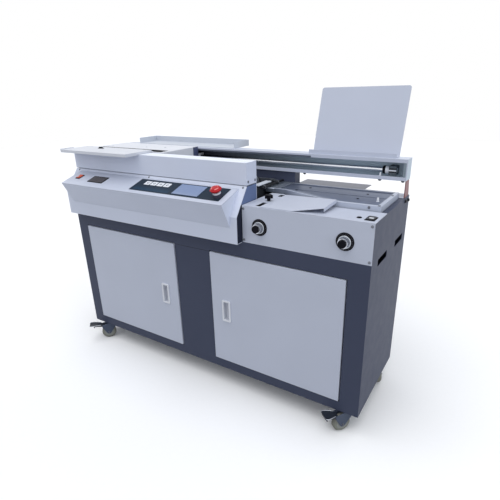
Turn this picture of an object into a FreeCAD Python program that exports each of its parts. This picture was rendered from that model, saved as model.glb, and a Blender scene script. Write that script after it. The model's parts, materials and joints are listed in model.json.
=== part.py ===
import FreeCAD, Part
import math
import os

import Sketcher

# Floor-standing glue binding machine on a wheeled cabinet.
# Millimetres, +Z up, +X to the operator's right, +Y away from the operator.
# The origin lies on the floor, under the middle of the overall box.

# Driving sizes. Unless the name says otherwise, places run from the cabinet's left side,
# depths from its front face, heights and levels from its lower edge and rises from its deck.
# A margin runs from the nearer end of the piece that carries the feature.
SIZES = {
    # Cabinet
    "cabinet_width": 1300,
    "cabinet_depth": 395,
    "deck_height": 543,
    "table_rise": 125,
    "caster_height": 82,
    "sheet_wall": 2,
    "pan_flange": 18,
    "side_return": 18,
    "hand_slot_length": 97,
    "hand_slot_height": 23,
    "hand_slot_drop": 14,
    "front_hand_slot_depth": 111,
    "rear_hand_slot_depth": 303,
    "hand_slot_corner": 5,
    "vent_width": 6,
    "vent_height": 80,
    "vent_pitch": 18,
    "vent_count": 12,
    "vent_level": 400,
    "left_vent_place": 160,
    "right_vent_place": 880,
    "chute_length": 110,
    "chute_width": 90,
    "inlet_place": 120,
    "inlet_level": 120,
    "inlet_width": 48,
    "inlet_height": 28,
    "inlet_reach": 4,
    "inlet_socket_depth": 18,
    "inlet_socket_width": 24,
    "inlet_socket_height": 16.5,
    "bin_length": 380,
    "bin_depth": 280,
    "bin_height": 220,
    "bin_taper": 12,
    "bin_margin": 110,
    "bin_setback": 60,
    # Doors
    "left_door_margin": 62,
    "left_door_width": 493,
    "right_door_margin": 70,
    "right_door_width": 505,
    "door_sill": 41,
    "door_height": 442,
    "door_gap": 3.5,
    "door_depth": 18,
    "door_proud": 4,
    "pivot_inset": 28,
    "pivot_depth": 8,
    "pivot_radius": 3,
    "pivot_arm": 14,
    "pivot_bracket_wall": 3,
    "pivot_bracket_height": 20,
    "pivot_seat_gap": 0.6,
    "pull_inset": 64,
    "pull_level": 261,
    "pull_width": 36,
    "pull_height": 86,
    "pull_rim": 4,
    "pull_border": 6.5,
    "pull_recess": 12,
    "pull_corner": 5,
    "running_clearance": 0.05,
    # Left unit
    "station_width": 433,
    "station_gap": 2,
    "skirt_overhang": 30,
    "shroud_break_rise": 90,
    "seam_rise": 179,
    "shroud_lean": 36.56,
    "end_plate_wall": 3,
    "hood_setback": 35,
    "hood_depth": 62,
    "seam_gap": 2,
    "hood_height": 73,
    # Console
    "console_start": 35,
    "console_end": 27,
    "console_overhang": 72,
    "console_edge_rise": 137,
    "console_crest_rise": 170.7,
    "console_foot_rise": 52.5,
    "panel_end": 24,
    "panel_length": 406,
    "panel_drop": 10,
    "panel_width": 78,
    "panel_wall": 1.2,
    "screen_end": 92,
    "screen_length": 112,
    "screen_drop": 17,
    "screen_width": 64,
    "screen_wall": 1.6,
    "stop_end": 20,
    "stop_drop": 62,
    "stop_head_radius": 20,
    "stop_head_height": 13,
    "stop_base_radius": 16,
    "stop_base_height": 16,
    "stop_stem_radius": 7,
    "stop_travel": 5,
    "power_place": 84,
    "power_drop": 48.5,
    "power_width": 25,
    "power_length": 31,
    # Rocker switches
    "rocker_border": 3,
    "rocker_rim": 1.6,
    "rocker_body_depth": 14,
    "rocker_gap": 0.8,
    "rocker_rise": 3,
    "rocker_pin_radius": 2,
    "rocker_pin_length": 1.5,
    "rocker_pin_depth": 4,
    "switch_margin": 23,
    "switch_depth": 38,
    "switch_width": 28,
    "switch_length": 40,
    # Cover station
    "table_slant_margin": 45,
    "table_step_margin": 172,
    "table_left_depth": 199,
    "table_right_depth": 115,
    "guide_slot_margin": 52.5,
    "guide_slot_width": 14,
    "guide_slot_start": 15,
    "guide_slot_end": 182,
    "left_knob_margin": 65,
    "right_knob_margin": 82,
    "knob_rise": 59,
    "dial_radius": 28,
    "dial_bore_radius": 12,
    "dial_wall": 3,
    "knob_radius": 17,
    "knob_length": 17,
    "knob_cap_radius": 12,
    "knob_cap_length": 6,
    "knob_shaft_radius": 6,
    "knob_shaft_length": 30,
    "knob_gap": 1,
    "guide_front": 4,
    "guide_margin": 64,
    "guide_crease_setback": 85,
    "guide_back": 188,
    "guide_corner_reach": 16,
    "guide_corner_depth": 113,
    "guide_tip_reach": 12,
    "guide_tip_depth": 27,
    "guide_tip_rise": 15,
    "guide_lip": 9,
    "guide_wall": 1.5,
    "guide_seat_gap": 0.3,
    "guide_tongue_start": 61,
    "guide_tongue_end": 152,
    "guide_tongue_margin": 37,
    "star_depth": 84,
    "star_radius": 14,
    "star_lobe_radius": 4.5,
    "star_height": 11,
    "star_neck_radius": 6,
    "star_neck_height": 9,
    "star_stud_radius": 4,
    "star_lobes": 5,
    "nip_strip_gap": 5,
    "nip_margin": 8,
    "nip_end": 20,
    "nip_wall_gap": 2,
    "nip_height": 16,
    "nip_strip": 14,
    "nip_floor": 4,
    "nip_foot": 6,
    "nip_leg": 16,
    "nip_seat_gap": 0.3,
    "nip_wall": 3,
    "nip_flange": 3,
    "nip_plate_gap": 6,
    "nip_travel": 10,
    "nip_side_gap": 1,
    "nip_split": 236,
    "tray_margin": 175,
    "tray_width": 275,
    "tray_reach": 143,
    "tray_drop": 11,
    "tray_flange": 32,
    # Rail and carriage
    "beam_front": 318,
    "beam_depth": 56,
    "beam_rise": 182,
    "beam_height": 70,
    "beam_wall": 2.5,
    "beam_lip": 12,
    "shaft_radius": 8,
    "shaft_depth": 345,
    "shaft_rise": 29,
    "shaft_start": 20,
    "shaft_end_margin": 38,
    "support_length": 24,
    "support_margin": 6,
    "wall_overlap": 25,
    "wall_depth": 332,
    "wall_back": 374,
    "post_width": 3,
    "post_depth": 333,
    "post_foot": 57,
    "post_head": 40,
    "post_gap": 3,
    "shelf_left": 77,
    "shelf_right": 613,
    "shelf_front": 340,
    "shelf_back": 450,
    "shelf_rim": 25,
    "board_width": 313,
    "board_margin": 41,
    "board_foot_front": 332,
    "board_foot_back": 372,
    "board_rise": 219,
    "board_lean": 17,
    "board_corner": 8,
    "board_lip": 14,
    "carriage_left": 16,
    "carriage_right": 444,
    "carriage_rise": 192,
    "carriage_height": 64,
    "carriage_back": 314,
    "carriage_wall": 4,
    "carriage_front_wall": 14,
    "cheek_width": 20,
    "jaw_front": 103,
    "jaw_wall": 9,
    "jaw_rise": 186,
    "mouth": 46,
    "moving_jaw_wall": 10,
    "jaw_seat_gap": 0.5,
    "jaw_side_gap": 2,
    "jaw_rod_radius": 8,
    "jaw_rod_length": 110,
    "jaw_rod_margin": 80,
    "jaw_rod_rise": 223,
    "bearing_left": 300,
    "bearing_right": 436,
    "bearing_half": 15,
    "neck_margin": 10,
    "neck_half": 11,
    "platform_left": 6,
    "platform_right": 384,
    "platform_front": 30,
    "platform_step": 5,
    "platform_lip": 9,
    "platform_end_lip": 5,
    "platform_hood_gap": 3,
    "platform_wall": 2,
    # Trough
    "motor_margin": 325,
    "motor_depth": 215,
    "motor_radius": 52,
    "motor_height": 125,
    "motor_flange_radius": 62,
    "motor_flange": 8,
    "spindle_radius": 10,
    "spindle_bore": 40,
    "cutter_radius": 68,
    "cutter_rise": 157,
    "cutter_wall": 10,
    "cutter_teeth": 12,
    "tooth_gullet": 9,
    "tank_margin": 35,
    "tank_length": 190,
    "tank_front": 140,
    "tank_back": 290,
    "tank_rise": 53,
    "tank_height": 104,
    "tank_wall": 6,
    "tank_foot_margin": 40,
    "roller_radius": 31,
    "roller_side_gap": 6,
    "roller_shaft_radius": 8,
    "roller_shaft_reach": 22,
    "roller_rise": 139,
    # Casters
    "caster_left_inset": 85,
    "caster_right_inset": 42,
    "caster_front": 31,
    "caster_back": 353,
    "front_left_turn": 228,
    "front_right_turn": 231,
    "rear_left_turn": 212,
    "rear_right_turn": 300,
    "caster_plate_length": 64,
    "caster_plate_width": 54,
    "caster_plate_wall": 3,
    "kingpin_radius": 5,
    "kingpin_head_radius": 9,
    "kingpin_head": 3,
    "crown_wall": 5,
    "crown_half": 19,
    "crown_gap": 0.4,
    "wheel_radius": 32,
    "wheel_width": 22,
    "wheel_side_gap": 1.5,
    "wheel_trail": 28,
    "wheel_corner": 5,
    "fork_wall": 2.5,
    "axle_radius": 4,
    "axle_eye_radius": 9,
    "pedal_pin_radius": 3,
    "pedal_hub_radius": 5.5,
    "pedal_pin_ahead": 22,
    "pedal_pin_height": 65,
    "pedal_reach": 42,
    "pedal_rise": 3,
    "pedal_half_width": 18,
    "pedal_lip": 8,
    "pedal_wall": 3,
    "pedal_side_gap": 0.4,
}

doc = FreeCAD.newDocument("glue_binding_machine")
sheet = doc.addObject("Spreadsheet::Sheet", "Sizes")
for row, (alias, number) in enumerate(SIZES.items(), 1):
    sheet.set(f"A{row}", alias)
    sheet.set(f"B{row}", str(number))
    sheet.setAlias(f"B{row}", alias)
doc.recompute()


class Size:
    """A value together with the formula that ties it to the sheet."""

    def __init__(self, value, text):
        self.value = value
        self.text = text

    def __add__(self, other):
        other = size(other)
        return Size(self.value + other.value, f"({self.text} + {other.text})")

    def __sub__(self, other):
        other = size(other)
        return Size(self.value - other.value, f"({self.text} - {other.text})")

    def __rsub__(self, other):
        return size(other) - self

    def __mul__(self, other):
        other = size(other)
        return Size(self.value * other.value, f"({self.text} * {other.text})")

    def __truediv__(self, other):
        other = size(other)
        return Size(self.value / other.value, f"({self.text} / {other.text})")

    def __neg__(self):
        return size(0) - self

    __radd__ = __add__
    __rmul__ = __mul__


def size(number):
    return number if isinstance(number, Size) else Size(number, f"({number})")


def sine(angle):
    return Size(math.sin(math.radians(angle.value)), f"sin({angle.text} * 1 deg)")


def cosine(angle):
    return Size(math.cos(math.radians(angle.value)), f"cos({angle.text} * 1 deg)")


def tangent(angle):
    return Size(math.tan(math.radians(angle.value)), f"tan({angle.text} * 1 deg)")


def slope_angle(rise, run):
    ratio = rise / run
    return Size(math.degrees(math.atan(ratio.value)), f"(atan({ratio.text}) / 1 deg)")


class Named:
    """The sheet's sizes by name."""

    def __getattr__(self, alias):
        return Size(float(sheet.get(alias)), f"Sizes.{alias}")


S = Named()
V = FreeCAD.Vector
UPRIGHT = FreeCAD.Rotation()
ALONG_X = FreeCAD.Rotation(V(0, 1, 0), 90)
ALONG_Y = FreeCAD.Rotation(V(1, 0, 0), -90)
TO_FRONT = FreeCAD.Rotation(V(1, 0, 0), 90)

# Reference planes of the whole machine
LEFT = S.cabinet_width / -2
FACE = (S.console_overhang - S.cabinet_depth - S.tray_reach) / 2
BOTTOM = S.caster_height


def at_x(place):
    return LEFT + place


def at_y(depth):
    return FACE + depth


def at_z(height):
    return BOTTOM + height


RIGHT = at_x(S.cabinet_width)
BACK = at_y(S.cabinet_depth)
DECK = at_z(S.deck_height)
TABLE = DECK + S.table_rise
WALL = S.sheet_wall
STATION = RIGHT - S.station_width, RIGHT
UNIT = LEFT, STATION[0] - S.station_gap

nodes = []


def node(feature, label):
    feature.Label = label
    nodes.append(feature)
    return feature


# Solids from primitives

def place(feature, x, y, z, rotation=UPRIGHT):
    feature.Placement = FreeCAD.Placement(V(), rotation)
    for axis, value in zip("xyz", (x, y, z)):
        feature.setExpression(f"Placement.Base.{axis}", size(value).text)
    return feature


def box(name, x, y, z):
    feature = doc.addObject("Part::Box", name)
    for side, (low, high) in zip(("Length", "Width", "Height"), (x, y, z)):
        feature.setExpression(side, (size(high) - low).text)
    return place(feature, x[0], y[0], z[0])


def rod(name, rotation, radius, start, length):
    feature = doc.addObject("Part::Cylinder", name)
    feature.setExpression("Radius", size(radius).text)
    feature.setExpression("Height", size(length).text)
    return place(feature, *start, rotation)


def fuse(name, *shapes):
    feature = doc.addObject("Part::MultiFuse", name)
    feature.Shapes = list(shapes)
    feature.Refine = True
    return feature


def cut(name, base, *tools):
    feature = doc.addObject("Part::Cut", name)
    feature.Base = base
    feature.Tool = tools[0] if len(tools) == 1 else fuse(name + "_tools", *tools)
    feature.Refine = True
    return feature


def group(name, *shapes):
    feature = doc.addObject("Part::Compound", name)
    feature.Links = list(shapes)
    return feature


# Solids from sketches

def fix_point(sketch, geometry, end, x, y):
    for kind, value in (("DistanceX", size(x)), ("DistanceY", size(y))):
        rule = sketch.addConstraint(Sketcher.Constraint(kind, -1, 1, geometry, end, value.value))
        sketch.setExpression(f"Constraints[{rule}]", value.text)


def polygon(points):
    corners = [(size(x), size(y)) for x, y in points]

    def draw(sketch):
        first = sketch.GeometryCount
        ends = [V(x.value, y.value, 0) for x, y in corners]
        for start, stop in zip(ends, ends[1:] + ends[:1]):
            sketch.addGeometry(Part.LineSegment(start, stop))
        for index in range(len(ends)):
            after = first + (index + 1) % len(ends)
            sketch.addConstraint(Sketcher.Constraint("Coincident", first + index, 2, after, 1))
        for index, (x, y) in enumerate(corners):
            fix_point(sketch, first + index, 1, x, y)
    return draw


def rectangle(x, y):
    return polygon([(x[0], y[0]), (x[1], y[0]), (x[1], y[1]), (x[0], y[1])])


def circle(x, y, radius):
    def draw(sketch):
        shape = Part.Circle(V(size(x).value, size(y).value, 0), V(0, 0, 1), size(radius).value)
        index = sketch.addGeometry(shape)
        rule = sketch.addConstraint(Sketcher.Constraint("Radius", index, size(radius).value))
        sketch.setExpression(f"Constraints[{rule}]", size(radius).text)
        fix_point(sketch, index, 3, x, y)
    return draw


def rounded(x, y, corner):
    def draw(sketch):
        first = sketch.GeometryCount
        (x0, x1), (y0, y1) = [(size(a).value, size(b).value) for a, b in (x, y)]
        r = size(corner).value
        centres = [(x1 - r, y0 + r), (x1 - r, y1 - r), (x0 + r, y1 - r), (x0 + r, y0 + r)]
        sides = [((x0 + r, y0), (x1 - r, y0)), ((x1, y0 + r), (x1, y1 - r)),
                 ((x1 - r, y1), (x0 + r, y1)), ((x0, y1 - r), (x0, y0 + r))]
        for quarter, (centre, side) in enumerate(zip(centres, sides)):
            sketch.addGeometry(Part.LineSegment(V(*side[0], 0), V(*side[1], 0)))
            turn = math.radians(90 * quarter - 90)
            bend = Part.Circle(V(*centre, 0), V(0, 0, 1), r)
            sketch.addGeometry(Part.ArcOfCircle(bend, turn, turn + math.pi / 2))
        for quarter in range(4):
            line = first + 2 * quarter
            after = first + (2 * quarter + 2) % 8
            sketch.addConstraint(Sketcher.Constraint("Tangent", line, 2, line + 1, 1))
            sketch.addConstraint(Sketcher.Constraint("Tangent", line + 1, 2, after, 1))
            level = "Vertical" if quarter % 2 else "Horizontal"
            sketch.addConstraint(Sketcher.Constraint(level, line))
            if quarter:
                sketch.addConstraint(Sketcher.Constraint("Equal", first + 1, line + 1))
        rule = sketch.addConstraint(Sketcher.Constraint("Radius", first + 1, r))
        sketch.setExpression(f"Constraints[{rule}]", size(corner).text)
        for kind, line, value in (("DistanceY", 0, y[0]), ("DistanceX", 2, x[1]),
                                  ("DistanceY", 4, y[1]), ("DistanceX", 6, x[0])):
            value = size(value)
            rule = sketch.addConstraint(
                Sketcher.Constraint(kind, -1, 1, first + line, 1, value.value))
            sketch.setExpression(f"Constraints[{rule}]", value.text)
    return draw


def sketch_on(body, plane, offset, drawings):
    sketch = body.newObject("Sketcher::SketchObject", body.Name + "_sketch")
    support = next(item for item in body.Origin.OriginFeatures if item.Role == plane)
    sketch.AttachmentSupport = [(support, "")]
    sketch.MapMode = "FlatFace"
    sketch.setExpression("AttachmentOffset.Base.z", size(offset).text)
    for draw in drawings:
        draw(sketch)
    return sketch


# A sketch on the XZ plane faces the operator, so its offset and depth run the other way.

def pad(body, plane, low, high, *drawings):
    low, high = size(low), size(high)
    feature = body.newObject("PartDesign::Pad", body.Name + "_pad")
    feature.Profile = sketch_on(body, plane, -low if plane == "XZ_Plane" else low, drawings)
    feature.Reversed = plane == "XZ_Plane"
    feature.setExpression("Length", (high - low).text)
    return feature


def pocket(body, plane, low, high, *drawings):
    low, high = size(low), size(high)
    feature = body.newObject("PartDesign::Pocket", body.Name + "_pocket")
    feature.Profile = sketch_on(body, plane, -low if plane == "XZ_Plane" else high, drawings)
    feature.setExpression("Length", (high - low).text)
    return feature


def new_body(name):
    return doc.addObject("PartDesign::Body", name)


def prism(name, plane, low, high, *drawings):
    body = new_body(name)
    pad(body, plane, low, high, *drawings)
    return body


def hollow(body, wall, *open_sides):
    """Shell the body inwards, leaving out the faces that look along the open sides."""
    doc.recompute()
    base = body.Tip
    names = [f"Face{index}" for index, face in enumerate(base.Shape.Faces, 1)
             if any(face.normalAt(0, 0).isEqual(V(*side).normalize(), 0.01) for side in open_sides)]
    feature = body.newObject("PartDesign::Thickness", body.Name + "_shell")
    feature.Base = (base, names)
    feature.setExpression("Value", size(wall).text)
    feature.Reversed = True
    feature.Join = "Intersection"
    return feature


def turned(name, rotation, x, y, z, profile):
    """Revolve a profile of radius and height pairs about the body's own axis."""
    body = new_body(name)
    sketch = sketch_on(body, "XZ_Plane", 0, [polygon(profile)])
    feature = body.newObject("PartDesign::Revolution", name + "_turn")
    feature.Profile = sketch
    feature.ReferenceAxis = (sketch, ["V_Axis"])
    feature.Angle = 360
    return place(body, x, y, z, rotation)


# Cabinet panels

pan_x = (LEFT + WALL, RIGHT - WALL)
pan_y = (FACE + WALL, BACK - WALL)
base_pan = prism("base_pan", "XY_Plane", BOTTOM, BOTTOM + S.pan_flange, rectangle(pan_x, pan_y))
hollow(base_pan, WALL, (0, 0, 1))
node(base_pan, "base_pan")


def side_panel(name, outer, inner, top):
    """A side sheet with a return along its rear edge."""
    inward = inner - outer
    turn = outer + inward * (S.side_return / WALL)
    outline = [(outer, FACE + WALL), (inner, FACE + WALL), (inner, BACK - WALL - WALL),
               (turn, BACK - WALL - WALL), (turn, BACK - WALL), (outer, BACK - WALL)]
    return prism(name, "XY_Plane", BOTTOM + S.pan_flange, top, polygon(outline))


def hand_slot(depth):
    centre = at_y(depth)
    level = DECK - S.hand_slot_drop
    half, rise = S.hand_slot_length / 2, S.hand_slot_height / 2
    return rounded((centre - half, centre + half), (level - rise, level + rise), S.hand_slot_corner)


left_side = side_panel("left_side", LEFT, LEFT + WALL, DECK)
pad(left_side, "XY_Plane", BOTTOM, BOTTOM + S.pan_flange,
    rectangle((LEFT, LEFT + WALL), (FACE + WALL, BACK - WALL)))
node(left_side, "left_side_panel")

right_side = side_panel("right_side", RIGHT, RIGHT - WALL, TABLE - WALL)
pad(right_side, "XY_Plane", BOTTOM, BOTTOM + S.pan_flange,
    rectangle((RIGHT - WALL, RIGHT), (FACE + WALL, BACK - WALL)))
pad(right_side, "XY_Plane", TABLE - WALL * 2, TABLE - WALL,
    rectangle((RIGHT - S.side_return, RIGHT - WALL),
              (at_y(S.table_right_depth), at_y(S.post_depth) - S.post_gap)))
doc.recompute()
pocket(right_side, "YZ_Plane", RIGHT - WALL, RIGHT,
       hand_slot(S.front_hand_slot_depth), hand_slot(S.rear_hand_slot_depth))
node(right_side, "right_side_panel")

# Rear panel with two rows of upright vents and the opening of the mains inlet
rear = prism("rear", "XZ_Plane", BACK - WALL, BACK, rectangle((LEFT, RIGHT), (BOTTOM, TABLE - WALL)))
inlet_x = at_x(S.inlet_place)
inlet_z = at_z(S.inlet_level)
vent_z = at_z(S.vent_level)
pocket(rear, "XZ_Plane", BACK - WALL, BACK,
       rectangle((inlet_x - S.inlet_socket_width / 2 - WALL, inlet_x + S.inlet_socket_width / 2 + WALL),
                 (inlet_z - S.inlet_socket_height / 2 - WALL, inlet_z + S.inlet_socket_height / 2 + WALL)))
for start in (S.left_vent_place, S.right_vent_place):
    doc.recompute()
    row = pocket(rear, "XZ_Plane", BACK - WALL, BACK,
                 rectangle((at_x(start), at_x(start) + S.vent_width),
                           (vent_z - S.vent_height / 2, vent_z + S.vent_height / 2)))
    doc.recompute()
    vents = rear.newObject("PartDesign::LinearPattern", "vents")
    vents.Originals = [row]
    vents.Direction = (row.Profile[0], ["H_Axis"])
    vents.setExpression("Occurrences", S.vent_count.text)
    vents.setExpression("Length", (S.vent_pitch * (S.vent_count - 1)).text)
    rear.Tip = vents
node(rear, "rear_panel")

# Mains inlet: a flanged shell with a socket open to the rear
inlet_half = S.inlet_width / 2, S.inlet_height / 2
socket_half = S.inlet_socket_width / 2, S.inlet_socket_height / 2
inlet = prism("inlet", "XZ_Plane", BACK, BACK + S.inlet_reach,
              rounded((inlet_x - inlet_half[0], inlet_x + inlet_half[0]),
                      (inlet_z - inlet_half[1], inlet_z + inlet_half[1]), S.inlet_reach))
pad(inlet, "XZ_Plane", BACK - S.inlet_socket_depth, BACK,
    rectangle((inlet_x - socket_half[0] - WALL, inlet_x + socket_half[0] + WALL),
              (inlet_z - socket_half[1] - WALL, inlet_z + socket_half[1] + WALL)))
pocket(inlet, "XZ_Plane", BACK - S.inlet_socket_depth + WALL, BACK + S.inlet_reach,
       rectangle((inlet_x - socket_half[0], inlet_x + socket_half[0]),
                 (inlet_z - socket_half[1], inlet_z + socket_half[1])))
node(inlet, "mains_inlet")

# Doors: where each one hangs, and which way its free edge lies
DOORS = {
    "left": (at_x(S.left_door_margin), at_x(S.left_door_margin + S.left_door_width), 1),
    "right": (RIGHT - S.right_door_margin, RIGHT - S.right_door_margin - S.right_door_width, -1),
}
door_z = at_z(S.door_sill), at_z(S.door_sill + S.door_height)
door_y = FACE - S.door_proud, FACE - S.door_proud + S.door_depth
pivot_y = FACE + S.pivot_depth


def pivot_bracket(name, pivot_x, edge, outward):
    """An angle behind the frame whose pin enters the door's edge."""
    wall = S.pivot_bracket_wall
    near = edge + outward * S.pivot_seat_gap
    far = near + outward * wall
    end = near + outward * S.pivot_bracket_height
    arm = box(name + "_arm", (pivot_x - S.pivot_arm / 2, pivot_x + S.pivot_arm / 2),
              (FACE + WALL, pivot_y + S.pivot_arm / 2), (near, far) if outward > 0 else (far, near))
    leg = box(name + "_leg", (pivot_x - S.pivot_arm / 2, pivot_x + S.pivot_arm / 2),
              (FACE + WALL, FACE + WALL + wall), (near, end) if outward > 0 else (end, near))
    reach = S.pivot_seat_gap + wall + S.pivot_radius * 2
    foot = edge - S.pivot_radius * 2 if outward > 0 else far
    pin = rod(name + "_pin", UPRIGHT, S.pivot_radius, (pivot_x, pivot_y, foot), reach)
    return arm, leg, pin


frame_sheet = prism("frame_sheet", "XZ_Plane", FACE, FACE + WALL,
                    rectangle((LEFT, RIGHT), (BOTTOM, DECK)))
brackets = []
for side, (hung, free, sense) in DOORS.items():
    low, high = (hung, free) if sense > 0 else (free, hung)
    gap = S.door_gap
    doc.recompute()
    pocket(frame_sheet, "XZ_Plane", FACE, FACE + WALL,
           rectangle((low - gap, high + gap), (door_z[0] - gap, door_z[1] + gap)))
    pivot_x = hung + sense * S.pivot_inset
    brackets += pivot_bracket(side + "_top_pivot", pivot_x, door_z[1], 1)
    brackets += pivot_bracket(side + "_foot_pivot", pivot_x, door_z[0], -1)

    door = prism(side + "_door", "XZ_Plane", *door_y, rectangle((low, high), door_z))
    hollow(door, WALL, (0, 1, 0))
    pull_x = free - sense * S.pull_inset
    pull_z = at_z(S.pull_level)
    half = S.pull_width / 2 - S.pull_border, S.pull_height / 2 - S.pull_border
    doc.recompute()
    pocket(door, "XZ_Plane", door_y[0], door_y[0] + WALL,
           rectangle((pull_x - half[0] - WALL, pull_x + half[0] + WALL),
                     (pull_z - half[1] - WALL, pull_z + half[1] + WALL)))
    pocket(door, "XY_Plane", door_z[0], door_z[1],
           circle(pivot_x, pivot_y, S.pivot_radius + S.running_clearance))
    node(door, side + "_door")

    pull = prism(side + "_pull", "XZ_Plane", door_y[0] - S.pull_rim, door_y[0],
                 rounded((pull_x - S.pull_width / 2, pull_x + S.pull_width / 2),
                         (pull_z - S.pull_height / 2, pull_z + S.pull_height / 2), S.pull_corner))
    pad(pull, "XZ_Plane", door_y[0], door_y[0] + S.pull_recess + WALL,
        rectangle((pull_x - half[0] - WALL, pull_x + half[0] + WALL),
                  (pull_z - half[1] - WALL, pull_z + half[1] + WALL)))
    pocket(pull, "XZ_Plane", door_y[0] - S.pull_rim, door_y[0] + S.pull_recess,
           rectangle((pull_x - half[0], pull_x + half[0]), (pull_z - half[1], pull_z + half[1])))
    node(pull, side + "_pull")

node(fuse("front", frame_sheet, *brackets), "front_frame")

# Deck over the cabinet, with the chute under the cutter
motor_x = UNIT[1] - S.motor_margin
motor_y = at_y(S.motor_depth)
deck = prism("deck", "XY_Plane", DECK - WALL, DECK,
             rectangle((LEFT + WALL, RIGHT - WALL), (FACE + WALL, BACK - WALL - WALL)))
doc.recompute()
pocket(deck, "XY_Plane", DECK - WALL, DECK,
       rectangle((motor_x - S.motor_flange_radius - S.chute_length, motor_x - S.motor_flange_radius - WALL),
                 (motor_y - S.chute_width / 2, motor_y + S.chute_width / 2)))
node(deck, "deck_plate")

# Scrap bin, tapered to its foot, standing in the left half of the cabinet
bin_x = at_x(S.bin_margin), at_x(S.bin_margin + S.bin_length)
bin_y = at_y(S.bin_setback), at_y(S.bin_setback + S.bin_depth)
bin_z = BOTTOM + WALL, BOTTOM + WALL + S.bin_height
scrap = new_body("scrap")
foot_sketch = sketch_on(scrap, "XY_Plane", bin_z[0], [
    rectangle((bin_x[0] + S.bin_taper, bin_x[1] - S.bin_taper),
              (bin_y[0] + S.bin_taper, bin_y[1] - S.bin_taper))])
mouth_sketch = sketch_on(scrap, "XY_Plane", bin_z[1], [rectangle(bin_x, bin_y)])
doc.recompute()
bin_form = scrap.newObject("PartDesign::AdditiveLoft", "bin_form")
bin_form.Profile = foot_sketch
bin_form.Sections = [mouth_sketch]
hollow(scrap, WALL, (0, 0, 1))
node(scrap, "scrap_bin")

# Console shroud: one bent sheet from the seam below the hood to the skirt's return
skirt_y = FACE - S.skirt_overhang
break_z = DECK + S.shroud_break_rise
seam_z = DECK + S.seam_rise
skirt_z = DECK - WALL


def lean_y(height):
    return skirt_y + (height - break_z) * tangent(S.shroud_lean)


bend = WALL * tangent(S.shroud_lean / 2)
drop = WALL * sine(S.shroud_lean)
back = WALL * cosine(S.shroud_lean)
shroud = prism("shroud", "YZ_Plane", *UNIT, polygon([
    (FACE, skirt_z), (skirt_y, skirt_z), (skirt_y, break_z), (lean_y(seam_z), seam_z),
    (lean_y(seam_z) + back, seam_z - drop), (skirt_y + WALL, break_z - bend),
    (skirt_y + WALL, DECK), (FACE, DECK)]))
node(shroud, "console_shroud")

hood_y = at_y(S.hood_setback), at_y(S.hood_setback + S.hood_depth)
wall_y = at_y(S.wall_depth), at_y(S.wall_back)


def end_plate(name, x, rear_y):
    """An end of the left unit, from the shroud's bends back to rear_y."""
    return prism(name, "YZ_Plane", x, x + S.end_plate_wall, polygon([
        (skirt_y + WALL, DECK), (skirt_y + WALL, break_z - bend),
        (lean_y(seam_z) + back, seam_z - drop), (rear_y, seam_z - drop), (rear_y, DECK)]))


ends = [end_plate("left_end", UNIT[0], wall_y[1]),
        end_plate("right_end", UNIT[1] - S.end_plate_wall, hood_y[1] - WALL)]
node(group("ends", *ends), "end_plates")

# Hood: a shallow box whose rear sheet runs down to the deck as the trough's front wall
hood_z = seam_z + S.seam_gap, seam_z + S.seam_gap + S.hood_height
hood_box = prism("hood_box", "YZ_Plane", *UNIT, rectangle(hood_y, hood_z))
hollow(hood_box, WALL, (0, 0, -1))
hood_apron = box("hood_apron", (UNIT[0] + S.end_plate_wall, UNIT[1]), (hood_y[1] - WALL, hood_y[1]),
                 (DECK, hood_z[0] + WALL))
node(fuse("hood", hood_box, hood_apron), "hood")

# Console case: a wedge on the shroud, open behind
edge_y = FACE - S.console_overhang
edge_z = DECK + S.console_edge_rise
crest_z = DECK + S.console_crest_rise
crest_y = lean_y(crest_z)
case_x = at_x(S.console_start), UNIT[1] - S.console_end
case = prism("case", "YZ_Plane", *case_x, polygon([
    (crest_y, crest_z), (edge_y, edge_z), (skirt_y, DECK + S.console_foot_rise), (skirt_y, break_z)]))
lean = math.radians(S.shroud_lean.value)
hollow(case, WALL, (0, 1, 0), (0, math.cos(lean), -math.sin(lean)))
TILT = slope_angle(crest_z - edge_z, crest_y - edge_y)


def on_console(down, out):
    """Depth and height of a point down the console's top and out from it."""
    return (crest_y - down * cosine(TILT) - out * sine(TILT),
            crest_z - down * sine(TILT) + out * cosine(TILT))


def tilted(feature, x, down, out):
    place(feature, x, *on_console(down, out), FreeCAD.Rotation(V(1, 0, 0), TILT.value))
    feature.setExpression("Placement.Rotation.Angle", TILT.text)
    return feature


def console_plate(name, end, length, top_edge, width, wall, out):
    plate = doc.addObject("Part::Box", name)
    for side, value in (("Length", length), ("Width", width), ("Height", wall)):
        plate.setExpression(side, value.text)
    return tilted(plate, end - length, top_edge + width, size(out))


panel_x = case_x[1] - S.panel_end
stop_x = panel_x - S.stop_end
node(console_plate("panel", panel_x, S.panel_length, S.panel_drop, S.panel_width,
                   S.panel_wall, 0), "control_panel")
node(console_plate("display", panel_x - S.screen_end, S.screen_length, S.screen_drop, S.screen_width,
                   S.screen_wall, S.panel_wall), "screen")

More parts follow.
